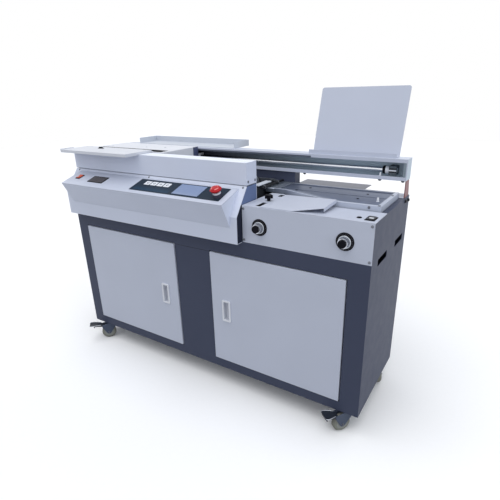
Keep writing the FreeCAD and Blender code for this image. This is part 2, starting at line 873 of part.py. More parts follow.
# Emergency stop: a collar on the panel and a mushroom head whose stem runs in it
bore = S.stop_stem_radius + S.running_clearance
collar_top = S.stop_base_height
collar = turned("collar", UPRIGHT, 0, 0, 0, [
    (0, 0), (S.stop_base_radius, 0), (S.stop_base_radius * 0.8, collar_top), (bore, collar_top),
    (bore, WALL), (0, WALL)])
node(tilted(collar, stop_x, S.stop_drop, S.panel_wall), "estop_base")
head_low = collar_top + S.stop_travel + S.running_clearance * 10
head = turned("head", UPRIGHT, 0, 0, 0, [
    (0, WALL + S.stop_travel + S.running_clearance * 10),
    (S.stop_stem_radius, WALL + S.stop_travel + S.running_clearance * 10),
    (S.stop_stem_radius, head_low), (S.stop_head_radius * 0.85, head_low),
    (S.stop_head_radius, head_low + S.stop_head_height * 0.4),
    (S.stop_head_radius * 0.72, head_low + S.stop_head_height * 0.88),
    (0, head_low + S.stop_head_height)])
node(tilted(head, stop_x, S.stop_drop, S.panel_wall), "estop_head")


def rocker_switch(prefix, width, length, seat):
    """A bezel let into a panel and a rocker on two pins; built about the panel's outer face."""
    rim, border, gap = S.rocker_rim, S.rocker_border, S.rocker_gap
    half_x, half_y = width / 2, length / 2
    bezel = prism(prefix + "_bezel", "XY_Plane", 0, rim, rectangle((-half_x, half_x), (-half_y, half_y)))
    inner = half_x - border / 2, half_y - border / 2
    pad(bezel, "XY_Plane", -S.rocker_body_depth, 0,
        rectangle((-inner[0], inner[0]), (-inner[1], inner[1])))
    well = half_x - border, half_y - border
    pocket(bezel, "XY_Plane", -S.rocker_body_depth + border / 2, rim,
           rectangle((-well[0], well[0]), (-well[1], well[1])))
    pocket(bezel, "YZ_Plane", -half_x + border / 2, half_x - border / 2,
           circle(0, -S.rocker_pin_depth, S.rocker_pin_radius + S.running_clearance))
    node(seat(bezel), prefix + "_bezel")

    run = well[1] - gap * 2
    paddle = prism(prefix + "_paddle", "YZ_Plane", -well[0] + gap / 2, well[0] - gap / 2, polygon([
        (-run, rim + S.rocker_rise), (0, rim + S.rocker_rise / 4), (run, rim + S.rocker_rise),
        (run, rim - S.rocker_pin_depth), (S.rocker_pin_radius * 2, -S.rocker_pin_depth * 2),
        (-S.rocker_pin_radius * 2, -S.rocker_pin_depth * 2), (-run, rim - S.rocker_pin_depth)]))
    pad(paddle, "YZ_Plane", -well[0] - S.rocker_pin_length, well[0] + S.rocker_pin_length,
        circle(0, -S.rocker_pin_depth, S.rocker_pin_radius))
    node(seat(paddle), prefix + "_rocker")
    return inner


power_inner = rocker_switch("power", S.power_width, S.power_length,
                            lambda body: tilted(body, at_x(S.power_place), S.power_drop, size(0)))
well_x = at_x(S.power_place) - power_inner[0], at_x(S.power_place) + power_inner[0]
power_well = box("power_well", well_x, (-power_inner[1], power_inner[1]),
                 (-S.rocker_body_depth, S.rocker_rim))
power_well.setExpression("Width", (power_inner[1] * 2).text)
tilted(power_well, well_x[0], S.power_drop + power_inner[1], -S.rocker_body_depth)
node(cut("console", case, power_well), "console_case")

# Cover station: front sheet, top sheet with a slanted rear edge, dial rings and setting knobs
KNOBS = {"left": STATION[0] + S.left_knob_margin, "right": RIGHT - S.right_knob_margin}
knob_z = DECK + S.knob_rise
front = prism("station", "XZ_Plane", FACE, FACE + WALL, rectangle(STATION, (DECK, TABLE - WALL)))
pocket(front, "XZ_Plane", FACE, FACE + WALL,
       *[circle(x, knob_z, S.knob_shaft_radius + S.running_clearance) for x in KNOBS.values()])
node(front, "station_panel")

slant_x = STATION[0] + S.table_slant_margin
step_x = RIGHT - S.table_step_margin
slot_x = STATION[0] + S.guide_slot_margin
switch_x, switch_y = RIGHT - S.switch_margin, at_y(S.switch_depth)
switch_inner = rocker_switch("table", S.switch_width, S.switch_length,
                             lambda body: place(body, switch_x, switch_y, TABLE))
top = prism("top", "XY_Plane", TABLE - WALL, TABLE, polygon([
    (STATION[0], FACE), (RIGHT, FACE), (RIGHT, at_y(S.table_right_depth)),
    (step_x, at_y(S.table_right_depth)), (slant_x, at_y(S.table_left_depth)),
    (STATION[0], at_y(S.table_left_depth))]))
pocket(top, "XY_Plane", TABLE - WALL, TABLE,
       rounded((slot_x - S.guide_slot_width / 2, slot_x + S.guide_slot_width / 2),
               (at_y(S.guide_slot_start), at_y(S.guide_slot_end)), S.guide_slot_width / 2.5),
       rectangle((switch_x - switch_inner[0], switch_x + switch_inner[0]),
                 (switch_y - switch_inner[1], switch_y + switch_inner[1])))
node(top, "station_top")

rings = []
for side, x in KNOBS.items():
    rings.append(turned(side + "_ring", TO_FRONT, x, FACE, knob_z, [
        (S.dial_bore_radius, 0), (S.dial_radius, 0), (S.dial_radius - S.dial_wall / 2, S.dial_wall),
        (S.dial_bore_radius, S.dial_wall)]))
    foot = S.dial_wall + S.knob_gap
    grip = foot + S.knob_length
    knob = turned(side + "_knob", TO_FRONT, x, FACE, knob_z, [
        (0, -S.knob_shaft_length), (S.knob_shaft_radius, -S.knob_shaft_length),
        (S.knob_shaft_radius, foot), (S.knob_radius, foot), (S.knob_radius * 0.9, grip),
        (S.knob_cap_radius, grip), (S.knob_cap_radius * 0.94, grip + S.knob_cap_length),
        (0, grip + S.knob_cap_length)])
    node(knob, side + "_knob")
node(group("rings", *rings), "dial_rings")

# Cover guide: a sheet that lies on the table along its left side, creased from its front edge to its
# rear left corner so that its right wing rises, with a turned-down lip on the wing and a tongue over
# the slot for the star knob
guide_z = TABLE + S.guide_seat_gap
guide_x = STATION[0] + S.guide_margin
guide_y = at_y(S.guide_front), at_y(S.guide_back)
crease_x = step_x - S.guide_crease_setback
tongue_x = STATION[0] + S.guide_tongue_margin
tongue_y = at_y(S.guide_tongue_start), at_y(S.guide_tongue_end)
guide_sheet = prism("guide_sheet", "XY_Plane", guide_z, guide_z + S.guide_wall, polygon([
    (guide_x, guide_y[0]), (crease_x, guide_y[0]), (guide_x, guide_y[1]), (guide_x, tongue_y[1]),
    (tongue_x, tongue_y[1]), (tongue_x, tongue_y[0]), (guide_x, tongue_y[0])]))
stud = S.star_stud_radius + S.running_clearance
pocket(guide_sheet, "XY_Plane", guide_z, guide_z + S.guide_wall, circle(slot_x, at_y(S.star_depth), stud))
crease = V(crease_x.value, guide_y[0].value, guide_z.value)
heel = V(guide_x.value, guide_y[1].value, guide_z.value)
tip = V((step_x + S.guide_tip_reach).value, at_y(S.guide_tip_depth).value, (guide_z + S.guide_tip_rise).value)
corner = V((step_x + S.guide_corner_reach).value, at_y(S.guide_corner_depth).value, guide_z.value)
facing = (heel - crease).cross(tip - crease)
corner.z -= facing.dot(corner - crease) / facing.z
lip = V(0, 0, -S.guide_lip.value)
thick = V(0, 0, S.guide_wall.value)
inward = (crease - tip).normalize() * S.guide_wall.value
wing_face = Part.Face(Part.makePolygon([crease, tip, corner, heel, crease]))
lip_face = Part.Face(Part.makePolygon([tip, corner, corner + lip, tip + lip, tip]))
wing = doc.addObject("Part::Feature", "guide_wing")
wing.Shape = wing_face.extrude(thick).fuse(lip_face.extrude(inward)).removeSplitter()
guide_block = box("guide_block", (slot_x - S.guide_slot_width / 2 + S.guide_seat_gap,
                                  slot_x + S.guide_slot_width / 2 - S.guide_seat_gap),
                  tongue_y, (TABLE - WALL, guide_z))
guide_hole = rod("guide_hole", UPRIGHT, stud, (slot_x, at_y(S.star_depth), TABLE - WALL), WALL * 2)
shoe = cut("guide_shoe", guide_block, guide_hole)
node(fuse("guide", guide_sheet, wing, shoe), "cover_guide")

# Star knob: a lobed head on a neck, its stud through the tongue

def around(body, feature, count):
    """Repeat a feature round the body's own axis."""
    doc.recompute()
    pattern = body.newObject("PartDesign::PolarPattern", body.Name + "_pattern")
    pattern.Originals = [feature]
    axis = next(item for item in body.Origin.OriginFeatures if item.Role == "Z_Axis")
    pattern.Axis = (axis, [""])
    pattern.Angle = 360
    pattern.setExpression("Occurrences", count.text)
    body.Tip = pattern
    return pattern


star_low = S.guide_wall + S.star_neck_height
star = prism("star", "XY_Plane", S.guide_wall, star_low, circle(0, 0, S.star_neck_radius))
pad(star, "XY_Plane", -S.guide_seat_gap - WALL, S.guide_wall, circle(0, 0, S.star_stud_radius))
pad(star, "XY_Plane", star_low, star_low + S.star_height,
    circle(0, 0, S.star_radius - S.star_lobe_radius))
doc.recompute()
lobe = pad(star, "XY_Plane", star_low, star_low + S.star_height,
           circle(0, S.star_radius - S.star_lobe_radius, S.star_lobe_radius))
around(star, lobe, S.star_lobes)
node(place(star, slot_x, at_y(S.star_depth), guide_z), "star_knob")

# Nip station: a raised frame that follows the table's slanted edge, and two plates that close in it
nip_x = STATION[0] + S.nip_margin, RIGHT - S.nip_end
nip_front_y = at_y(S.table_left_depth) + S.nip_strip_gap, at_y(S.table_right_depth) + S.nip_strip_gap
nip_back_y = wall_y[0] - S.nip_wall_gap
nip_slant, nip_step = slant_x + S.nip_strip_gap, step_x + S.nip_strip_gap
nip_low = TABLE - S.nip_foot
nip_top = TABLE + S.nip_height


def slanted(inset):
    return polygon([
        (nip_x[0] + inset, nip_front_y[0] + inset), (nip_slant + inset, nip_front_y[0] + inset),
        (nip_step + inset, nip_front_y[1] + inset), (nip_x[1] - inset, nip_front_y[1] + inset),
        (nip_x[1] - inset, nip_back_y - inset), (nip_x[0] + inset, nip_back_y - inset)])


nip = prism("nip", "XY_Plane", nip_low, nip_top, slanted(size(0)))
pocket(nip, "XY_Plane", nip_top - S.nip_flange, nip_top, slanted(S.nip_strip))
doc.recompute()
pocket(nip, "XY_Plane", nip_low + S.nip_floor, nip_top - S.nip_flange, slanted(S.nip_wall))
legs = [box(f"nip_leg_{index}", (x, x + S.nip_leg), (y, y + S.nip_leg), (DECK, nip_low))
        for index, (x, y) in enumerate((x, y)
                                       for x in (nip_x[0], nip_x[1] - S.nip_leg)
                                       for y in (nip_front_y[0], nip_back_y - S.nip_leg))]
node(fuse("nip_stand", nip, *legs), "nip_frame")

split_y = at_y(S.nip_split)
plate_x = nip_x[0] + S.nip_wall + S.nip_side_gap, nip_x[1] - S.nip_wall - S.nip_side_gap
plate_slant, plate_step = [x + S.nip_wall + S.nip_side_gap for x in (nip_slant, nip_step)]
plate_z = nip_low + S.nip_floor + S.nip_seat_gap, nip_top - S.nip_flange - S.nip_seat_gap
run_out = S.nip_wall + S.nip_travel + S.nip_side_gap
half_gap = S.nip_plate_gap / 2
front_plate = prism("nip_front_slab", "XY_Plane", *plate_z, polygon([
    (plate_x[0], nip_front_y[0] + run_out), (plate_slant, nip_front_y[0] + run_out),
    (plate_step, nip_front_y[1] + run_out), (plate_x[1], nip_front_y[1] + run_out),
    (plate_x[1], split_y - half_gap), (plate_x[0], split_y - half_gap)]))
node(front_plate, "nip_front_plate")
rear_plate = prism("nip_rear_slab", "XY_Plane", *plate_z,
                   rectangle(plate_x, (split_y + half_gap, nip_back_y - run_out)))
node(rear_plate, "nip_rear_plate")

# Rear cover tray: a shelf bent from a flange on the rear panel
tray_z = TABLE - S.tray_drop
tray_x = RIGHT - S.tray_margin - S.tray_width, RIGHT - S.tray_margin
tray = prism("tray", "YZ_Plane", *tray_x, polygon([
    (BACK, tray_z - S.tray_flange), (BACK + WALL, tray_z - S.tray_flange), (BACK + WALL, tray_z - WALL),
    (BACK + S.tray_reach, tray_z - WALL), (BACK + S.tray_reach, tray_z), (BACK, tray_z)]))
node(tray, "rear_cover_tray")

# Rail beam: a closed-end channel with lipped front, and the shaft inside it
beam_y = at_y(S.beam_front), at_y(S.beam_front + S.beam_depth)
beam_z = DECK + S.beam_rise, DECK + S.beam_rise + S.beam_height
beam = prism("beam", "YZ_Plane", LEFT, RIGHT, rectangle(beam_y, beam_z))
pocket(beam, "YZ_Plane", LEFT + S.beam_wall, RIGHT - S.beam_wall,
       rectangle((beam_y[0] + S.beam_wall, beam_y[1] - S.beam_wall),
                 (beam_z[0] + S.beam_wall, beam_z[1] - S.beam_wall)))
doc.recompute()
pocket(beam, "XZ_Plane", beam_y[0], beam_y[0] + S.beam_wall,
       rectangle((LEFT + S.beam_lip, RIGHT - S.beam_lip), (beam_z[0] + S.beam_lip, beam_z[1] - S.beam_lip)))
node(beam, "rail_beam")

shaft_x = at_x(S.shaft_start), RIGHT - S.shaft_end_margin
shaft_y, shaft_z = at_y(S.shaft_depth), beam_z[0] + S.shaft_rise
shaft = rod("shaft", ALONG_X, S.shaft_radius, (shaft_x[0], shaft_y, shaft_z), shaft_x[1] - shaft_x[0])
node(shaft, "guide_shaft")

holders = []
for side, x in (("left", shaft_x[0]), ("right", shaft_x[1] - S.support_length)):
    grip = S.shaft_radius + S.support_margin
    holder = prism(side + "_holder", "YZ_Plane", x, x + S.support_length,
                   rectangle((shaft_y - grip, beam_y[1] - S.beam_wall), (shaft_z - grip, shaft_z + grip)))
    pocket(holder, "YZ_Plane", x, x + S.support_length, circle(shaft_y, shaft_z, S.shaft_radius))
    holders.append(holder)
node(group("holders", *holders), "shaft_supports")

# Rear wall: a channel on the deck that carries the beam behind the trough
wall_x = LEFT + S.end_plate_wall, STATION[0] + S.wall_overlap
wall = prism("wall", "XY_Plane", DECK, beam_z[0], polygon([
    (wall_x[0], wall_y[0]), (wall_x[1], wall_y[0]), (wall_x[1], wall_y[1]),
    (wall_x[1] - WALL, wall_y[1]), (wall_x[1] - WALL, wall_y[0] + WALL),
    (wall_x[0] + WALL, wall_y[0] + WALL), (wall_x[0] + WALL, wall_y[1]), (wall_x[0], wall_y[1])]))
node(wall, "rear_wall")

# Support post: a tapered strap from the deck to the beam's right end
post_x = RIGHT - WALL - S.post_width, RIGHT - WALL
post_y = at_y(S.post_depth)
post = prism("post", "YZ_Plane", *post_x, polygon([
    (post_y, DECK), (post_y + S.post_foot - WALL, DECK), (post_y + S.post_foot - WALL, TABLE),
    (post_y + S.post_head, beam_z[0]), (post_y, beam_z[0])]))
node(post, "support_post")

# Shelf on the beam, open to the front
shelf = prism("shelf", "XY_Plane", beam_z[1], beam_z[1] + S.shelf_rim,
              rectangle((at_x(S.shelf_left), at_x(S.shelf_right)), (at_y(S.shelf_front), at_y(S.shelf_back))))
hollow(shelf, WALL, (0, 0, 1), (0, -1, 0))
node(shelf, "rear_tray")

# Cover board: a leaning sheet bent from a lipped foot on the beam, with rounded upper corners
foot_y = at_y(S.board_foot_front), at_y(S.board_foot_back)
board_z = beam_z[1] + WALL, beam_z[1] + WALL + S.board_rise
board_run = S.board_rise * tangent(S.board_lean)
board_x = RIGHT - S.board_margin - S.board_width, RIGHT - S.board_margin
board_bend = prism("board_bend", "YZ_Plane", *board_x, polygon([
    (foot_y[0], beam_z[1]), (foot_y[1] + WALL, beam_z[1]), (foot_y[1] + WALL, board_z[0]),
    (foot_y[1] + WALL + board_run, board_z[1]), (foot_y[1] + board_run, board_z[1]),
    (foot_y[1], board_z[0]), (foot_y[0] + WALL, board_z[0]), (foot_y[0] + WALL, beam_z[1] + S.board_lip),
    (foot_y[0], beam_z[1] + S.board_lip)]))
board_blank = prism("board_blank", "XZ_Plane", foot_y[0], foot_y[1] + WALL + board_run,
                    rounded(board_x, (beam_z[1] - S.board_corner, board_z[1]), S.board_corner))
board = doc.addObject("Part::Common", "board")
board.Base = board_bend
board.Tool = board_blank
node(board, "cover_board")

# Carriage: a bearing on the shaft, a neck through the channel's mouth, a hollow housing,
# two cheeks and the fixed front jaw
car_x = at_x(S.carriage_left), at_x(S.carriage_right)
car_z = DECK + S.carriage_rise, DECK + S.carriage_rise + S.carriage_height
jaw_y = at_y(S.jaw_front), at_y(S.jaw_front) + S.jaw_wall
rest_y = jaw_y[1] + S.mouth
body_y = rest_y + S.moving_jaw_wall + S.jaw_seat_gap, at_y(S.carriage_back)
jaw_z = DECK + S.jaw_rise, car_z[1]
bearing_x = at_x(S.bearing_left), at_x(S.bearing_right)
housing = box("housing", car_x, body_y, car_z)
cavity = box("cavity", (car_x[0] + S.carriage_wall, car_x[1] - S.carriage_wall),
             (body_y[0] + S.carriage_front_wall, body_y[1] - S.carriage_wall),
             (car_z[0], car_z[1] - S.carriage_wall))
cheeks = [box("left_cheek", (car_x[0], car_x[0] + S.cheek_width), (jaw_y[0], body_y[0]), car_z),
          box("right_cheek", (car_x[1] - S.cheek_width, car_x[1]), (jaw_y[0], body_y[0]), car_z)]
front_jaw = box("front_jaw", car_x, jaw_y, jaw_z)
bearing = box("bearing", bearing_x, (shaft_y - S.bearing_half, shaft_y + S.bearing_half),
              (shaft_z - S.bearing_half, shaft_z + S.bearing_half))
neck = box("neck", (bearing_x[0] + S.neck_margin, bearing_x[1] - S.neck_margin),
           (body_y[1], shaft_y - S.bearing_half), (shaft_z - S.neck_half, shaft_z + S.neck_half))
shaft_bore = rod("shaft_bore", ALONG_X, S.shaft_radius + S.running_clearance,
                 (bearing_x[0], shaft_y, shaft_z), bearing_x[1] - bearing_x[0])
rod_places = car_x[0] + S.jaw_rod_margin, car_x[1] - S.jaw_rod_margin
rod_z = DECK + S.jaw_rod_rise
rod_bores = [rod(f"rod_bore_{index}", ALONG_Y, S.jaw_rod_radius + S.running_clearance,
                 (x, body_y[0], rod_z), S.carriage_front_wall) for index, x in enumerate(rod_places)]
shell = cut("shell", housing, cavity)
saddle_form = fuse("saddle_form", shell, *cheeks, front_jaw, bearing, neck)
carriage = cut("saddle", saddle_form, shaft_bore, *rod_bores)
node(carriage, "carriage")

# Moving jaw: a plate on two rods that run in the housing's front wall
jaw_x = car_x[0] + S.cheek_width + S.jaw_side_gap, car_x[1] - S.cheek_width - S.jaw_side_gap
jaw_plate = box("jaw_plate", jaw_x, (rest_y, rest_y + S.moving_jaw_wall), jaw_z)
jaw_rods = [rod(f"jaw_rod_{index}", ALONG_Y, S.jaw_rod_radius,
                (x, rest_y + S.moving_jaw_wall / 2, rod_z), S.jaw_rod_length)
            for index, x in enumerate(rod_places)]
node(fuse("jaw", jaw_plate, *jaw_rods), "clamp_jaw")

# Platform: a sheet stepped up from the front jaw that overhangs the hood,
# turned down along its front and at both ends as far as the hood, with a raised left end
deck_z = car_z[1] + S.platform_step, car_z[1] + S.platform_step + S.platform_wall
platform_x = at_x(S.platform_left), at_x(S.platform_right)
lip_y, heel_y = FACE - S.platform_front, jaw_y[0] + S.platform_wall
platform = prism("platform_sheet", "YZ_Plane", *platform_x, polygon([
    (lip_y, deck_z[0] - S.platform_lip), (lip_y + S.platform_wall, deck_z[0] - S.platform_lip),
    (lip_y + S.platform_wall, deck_z[0]), (jaw_y[0], deck_z[0]), (jaw_y[0], car_z[1]), (jaw_y[1], car_z[1]),
    (jaw_y[1], car_z[1] + S.platform_wall), (heel_y, car_z[1] + S.platform_wall), (heel_y, deck_z[1]),
    (lip_y, deck_z[1])]))
for start, top in ((platform_x[0], deck_z[0] + S.platform_end_lip),
                   (platform_x[1] - S.platform_wall, deck_z[1])):
    doc.recompute()
    pad(platform, "YZ_Plane", start, start + S.platform_wall,
        rectangle((lip_y, hood_y[0] - S.platform_hood_gap), (deck_z[0] - S.platform_lip, top)))
node(platform, "platform")

# Spine cutter: a motor on the deck and a toothed disc on its spindle
motor_z = DECK + S.motor_height
spindle_bore = S.spindle_radius + S.running_clearance
motor = turned("motor", UPRIGHT, motor_x, motor_y, 0, [
    (0, DECK), (S.motor_flange_radius, DECK), (S.motor_flange_radius, DECK + S.motor_flange),
    (S.motor_radius, DECK + S.motor_flange), (S.motor_radius, motor_z), (spindle_bore, motor_z),
    (spindle_bore, motor_z - S.spindle_bore), (0, motor_z - S.spindle_bore)])
node(motor, "milling_motor")

cutter_z = DECK + S.cutter_rise
cutter = prism("cutter", "XY_Plane", cutter_z, cutter_z + S.cutter_wall, circle(0, 0, S.cutter_radius))
pad(cutter, "XY_Plane", motor_z - S.spindle_bore + S.nip_seat_gap, cutter_z, circle(0, 0, S.spindle_radius))
doc.recompute()
gullet = pocket(cutter, "XY_Plane", cutter_z, cutter_z + S.cutter_wall,
                polygon([(-S.tooth_gullet / 2, S.cutter_radius - S.tooth_gullet),
                         (S.tooth_gullet / 2, S.cutter_radius - S.tooth_gullet),
                         (S.tooth_gullet, S.cutter_radius + S.tooth_gullet),
                         (-S.tooth_gullet / 2, S.cutter_radius + S.tooth_gullet)]))
around(cutter, gullet, S.cutter_teeth)
node(place(cutter, motor_x, motor_y, 0), "milling_cutter")

# Glue tank on its heated foot, with the roller that lifts the glue
tank_x = UNIT[1] - S.tank_margin - S.tank_length, UNIT[1] - S.tank_margin
tank_y = at_y(S.tank_front), at_y(S.tank_back)
tank_z = DECK + S.tank_rise, DECK + S.tank_rise + S.tank_height
roller_x, roller_z = (tank_x[0] + tank_x[1]) / 2, DECK + S.roller_rise
tank_form = prism("tank_form", "XY_Plane", *tank_z, rectangle(tank_x, tank_y))
hollow(tank_form, S.tank_wall, (0, 0, 1))
margin = S.tank_foot_margin
tank_foot = box("tank_foot", (tank_x[0] + margin, tank_x[1] - margin),
                (tank_y[0] + margin, tank_y[1] - margin), (DECK, tank_z[0]))
journal = rod("journal", ALONG_Y, S.roller_shaft_radius + S.running_clearance,
              (roller_x, tank_y[0], roller_z), tank_y[1] - tank_y[0])
node(cut("tank", fuse("tank_body", tank_form, tank_foot), journal), "glue_tank")

drum_y = (tank_y[0] + S.tank_wall + S.roller_side_gap, tank_y[1] - S.tank_wall - S.roller_side_gap)
shaft_ends = tank_y[0] - S.roller_shaft_reach / 4, tank_y[1] + S.roller_shaft_reach
roller = turned("roller", ALONG_Y, roller_x, 0, roller_z, [
    (0, shaft_ends[0]), (S.roller_shaft_radius, shaft_ends[0]), (S.roller_shaft_radius, drum_y[0]),
    (S.roller_radius, drum_y[0]), (S.roller_radius, drum_y[1]), (S.roller_shaft_radius, drum_y[1]),
    (S.roller_shaft_radius, shaft_ends[1]), (0, shaft_ends[1])])
node(roller, "glue_roller")

# Casters: plate and kingpin on the base, swivel fork, wheel, and a pedal on the front pair.
# Each fork is drawn along its own first axis, in which its wheel trails, and turned on its kingpin.
CASTERS = {
    "front_left": (at_x(S.caster_left_inset), at_y(S.caster_front), S.front_left_turn, True),
    "front_right": (RIGHT - S.caster_right_inset, at_y(S.caster_front), S.front_right_turn, True),
    "rear_left": (at_x(S.caster_left_inset), at_y(S.caster_back), S.rear_left_turn, False),
    "rear_right": (RIGHT - S.caster_right_inset, at_y(S.caster_back), S.rear_right_turn, False),
}
crown_z = (BOTTOM - S.caster_plate_wall - S.crown_gap - S.crown_wall,
           BOTTOM - S.caster_plate_wall - S.crown_gap)
leg_y = S.wheel_width / 2 + S.wheel_side_gap, S.wheel_width / 2 + S.wheel_side_gap + S.fork_wall
axle_u, axle_z = S.wheel_trail, S.wheel_radius
eye, hub = S.axle_eye_radius, S.pedal_hub_radius
pin_u, pin_z = axle_u + S.pedal_pin_ahead, S.pedal_pin_height
eye_outline = [(axle_u - eye, axle_z - eye / 2), (axle_u - eye / 2, axle_z - eye),
               (axle_u + eye / 2, axle_z - eye), (axle_u + eye, axle_z - eye / 2)]
nose_outline = [(pin_u + hub, pin_z - hub), (pin_u + hub, pin_z + hub)]
plates = []
for name, (x, y, turn, braked) in CASTERS.items():
    swivel = FreeCAD.Rotation(V(0, 0, 1), turn.value)
    half = S.caster_plate_length / 2, S.caster_plate_width / 2
    plate = box(name + "_plate", (x - half[0], x + half[0]), (y - half[1], y + half[1]),
                (BOTTOM - S.caster_plate_wall, BOTTOM))
    pin_low = crown_z[0] - S.crown_gap
    pin = rod(name + "_kingpin", UPRIGHT, S.kingpin_radius, (x, y, pin_low), BOTTOM - pin_low)
    cap = rod(name + "_kingpin_head", UPRIGHT, S.kingpin_head_radius,
              (x, y, pin_low - S.kingpin_head), S.kingpin_head)
    plates.append(fuse(name + "_mount", plate, pin, cap))

    fork = prism(name + "_crown", "XY_Plane", *crown_z,
                 rectangle((-S.crown_half, S.crown_half), (-leg_y[1], leg_y[1])))
    pocket(fork, "XY_Plane", *crown_z, circle(0, 0, S.kingpin_radius + S.running_clearance))
    outline = ([(-S.crown_half, crown_z[1])] + eye_outline + (nose_outline if braked else [])
               + [(S.crown_half, crown_z[1])])
    for low, high in ((-leg_y[1], -leg_y[0]), (leg_y[0], leg_y[1])):
        doc.recompute()
        pad(fork, "XZ_Plane", low, high, polygon(outline))
    doc.recompute()
    pad(fork, "XZ_Plane", -leg_y[1], leg_y[1], circle(axle_u, axle_z, S.axle_radius))
    if braked:
        doc.recompute()
        pad(fork, "XZ_Plane", -leg_y[1], leg_y[1], circle(pin_u, pin_z, S.pedal_pin_radius))
    node(place(fork, x, y, 0, swivel), name + "_fork")

    half_width, round_off = S.wheel_width / 2, S.wheel_corner
    bore = S.axle_radius + S.running_clearance
    wheel = turned(name + "_tyre", swivel * ALONG_Y, x + axle_u * cosine(turn), y + axle_u * sine(turn),
                   axle_z, [
        (bore, -half_width), (S.wheel_radius - round_off, -half_width),
        (S.wheel_radius, -half_width + round_off), (S.wheel_radius, half_width - round_off),
        (S.wheel_radius - round_off, half_width), (bore, half_width)])
    node(wheel, name + "_wheel")

    if braked:
        span = leg_y[0] - S.pedal_side_gap
        tip_u, tip_z = pin_u + S.pedal_reach, pin_z + hub + S.pedal_rise
        tread_u = pin_u + hub + S.pedal_wall
        tread_z = pin_z + hub + S.pedal_rise * ((hub + S.pedal_wall) / S.pedal_reach)
        pedal = prism(name + "_lever", "XZ_Plane", -span, span, polygon([
            (pin_u, pin_z + hub), (tip_u, tip_z), (tip_u, tip_z - S.pedal_wall),
            (pin_u + hub, pin_z - hub / 2), (pin_u + hub / 2, pin_z - hub),
            (pin_u - hub / 2, pin_z - hub), (pin_u - hub, pin_z - hub / 2),
            (pin_u - hub, pin_z + hub / 2)]))
        doc.recompute()
        pad(pedal, "XZ_Plane", -S.pedal_half_width, S.pedal_half_width, polygon([
            (tread_u, tread_z), (tip_u, tip_z), (tip_u, tip_z - S.pedal_lip),
            (tip_u - S.pedal_wall, tip_z - S.pedal_lip), (tip_u - S.pedal_wall, tip_z - S.pedal_wall),
            (tread_u, tread_z - S.pedal_wall)]))
        doc.recompute()
        pocket(pedal, "XZ_Plane", -span, span,
               circle(pin_u, pin_z, S.pedal_pin_radius + S.running_clearance))
        node(place(pedal, x, y, 0, swivel), name + "_pedal")
node(group("plates", *plates), "caster_plates")

doc.recompute()
faults = [f"{item.Label}: {item.State}" for item in doc.Objects
          if "Invalid" in item.State or "Error" in item.State]
faults += [f"{item.Label}: bad shape" for item in nodes
           if item.Shape.isNull() or not item.Shape.isValid() or not item.Shape.Solids]
if faults:
    raise RuntimeError("; ".join(faults))

os.makedirs("parts", exist_ok=True)
for item in nodes:
    item.Shape.exportStep(f"parts/{item.Label}.step")
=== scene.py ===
import json
import math

import bmesh
import bpy
from mathutils import Matrix, Vector


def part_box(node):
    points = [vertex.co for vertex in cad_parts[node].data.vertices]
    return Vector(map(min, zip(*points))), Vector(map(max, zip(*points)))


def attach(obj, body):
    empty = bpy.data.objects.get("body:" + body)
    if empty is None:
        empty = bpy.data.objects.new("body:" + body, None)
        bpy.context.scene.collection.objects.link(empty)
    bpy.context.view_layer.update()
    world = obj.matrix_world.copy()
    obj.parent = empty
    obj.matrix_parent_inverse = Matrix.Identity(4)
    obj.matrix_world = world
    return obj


# A floor-standing glue binding machine. Metres, +Z up, +X to the operator's right.
# Sizes and shifts of small details, named in each section, are in millimetres.

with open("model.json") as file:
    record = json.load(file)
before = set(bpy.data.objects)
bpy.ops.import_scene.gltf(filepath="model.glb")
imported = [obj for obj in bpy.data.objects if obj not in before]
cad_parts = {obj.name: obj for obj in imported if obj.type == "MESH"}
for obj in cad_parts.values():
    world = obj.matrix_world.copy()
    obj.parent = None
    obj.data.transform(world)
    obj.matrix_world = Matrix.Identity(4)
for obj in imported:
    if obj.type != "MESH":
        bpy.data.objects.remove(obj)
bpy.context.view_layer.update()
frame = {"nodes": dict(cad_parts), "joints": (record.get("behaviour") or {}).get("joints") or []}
JOINTS = {joint["name"]: joint for joint in frame["joints"]}
SIDES = ("left", "right")
CORNERS = ("front_left", "front_right", "rear_left", "rear_right")

X, Y, Z = Vector((1, 0, 0)), Vector((0, 1, 0)), Vector((0, 0, 1))
MM = 0.001


def mm(*sizes):
    """Millimetres, turned into metres."""
    return [size * MM for size in sizes]


def beside(place, *shift):
    """The place that lies some millimetres from another along X, Y and Z."""
    return Vector(place) + Vector(shift) * MM


# Camera, solved from the straight edges of the machine

CAMERA_PLACE = (0.9433, -1.3180, 1.0853)
CAMERA_AZIMUTH, CAMERA_ELEVATION, CAMERA_ROLL = map(math.radians, (32.467, 21.725, -1.33))
CAMERA_LENS, CAMERA_SENSOR = 29.85, 36
CAMERA_SHIFT = (-0.0047, 0.0164)


def add_camera():
    sin_az, cos_az = math.sin(CAMERA_AZIMUTH), math.cos(CAMERA_AZIMUTH)
    flat = math.cos(CAMERA_ELEVATION)
    ahead = Vector((-sin_az * flat, cos_az * flat, -math.sin(CAMERA_ELEVATION)))
    right = Vector((cos_az, sin_az, 0))
    up = right.cross(ahead)
    sin_roll, cos_roll = math.sin(CAMERA_ROLL), math.cos(CAMERA_ROLL)
    axes = right * cos_roll + up * sin_roll, up * cos_roll - right * sin_roll, -ahead
    lens = bpy.data.cameras.new("camera")
    lens.lens, lens.sensor_width = CAMERA_LENS, CAMERA_SENSOR
    lens.shift_x, lens.shift_y = CAMERA_SHIFT
    camera = bpy.data.objects.new("camera", lens)
    camera.matrix_world = Matrix.Translation(CAMERA_PLACE) @ Matrix(axes).transposed().to_4x4()
    bpy.context.scene.collection.objects.link(camera)
    bpy.context.scene.camera = camera


# Node graphs

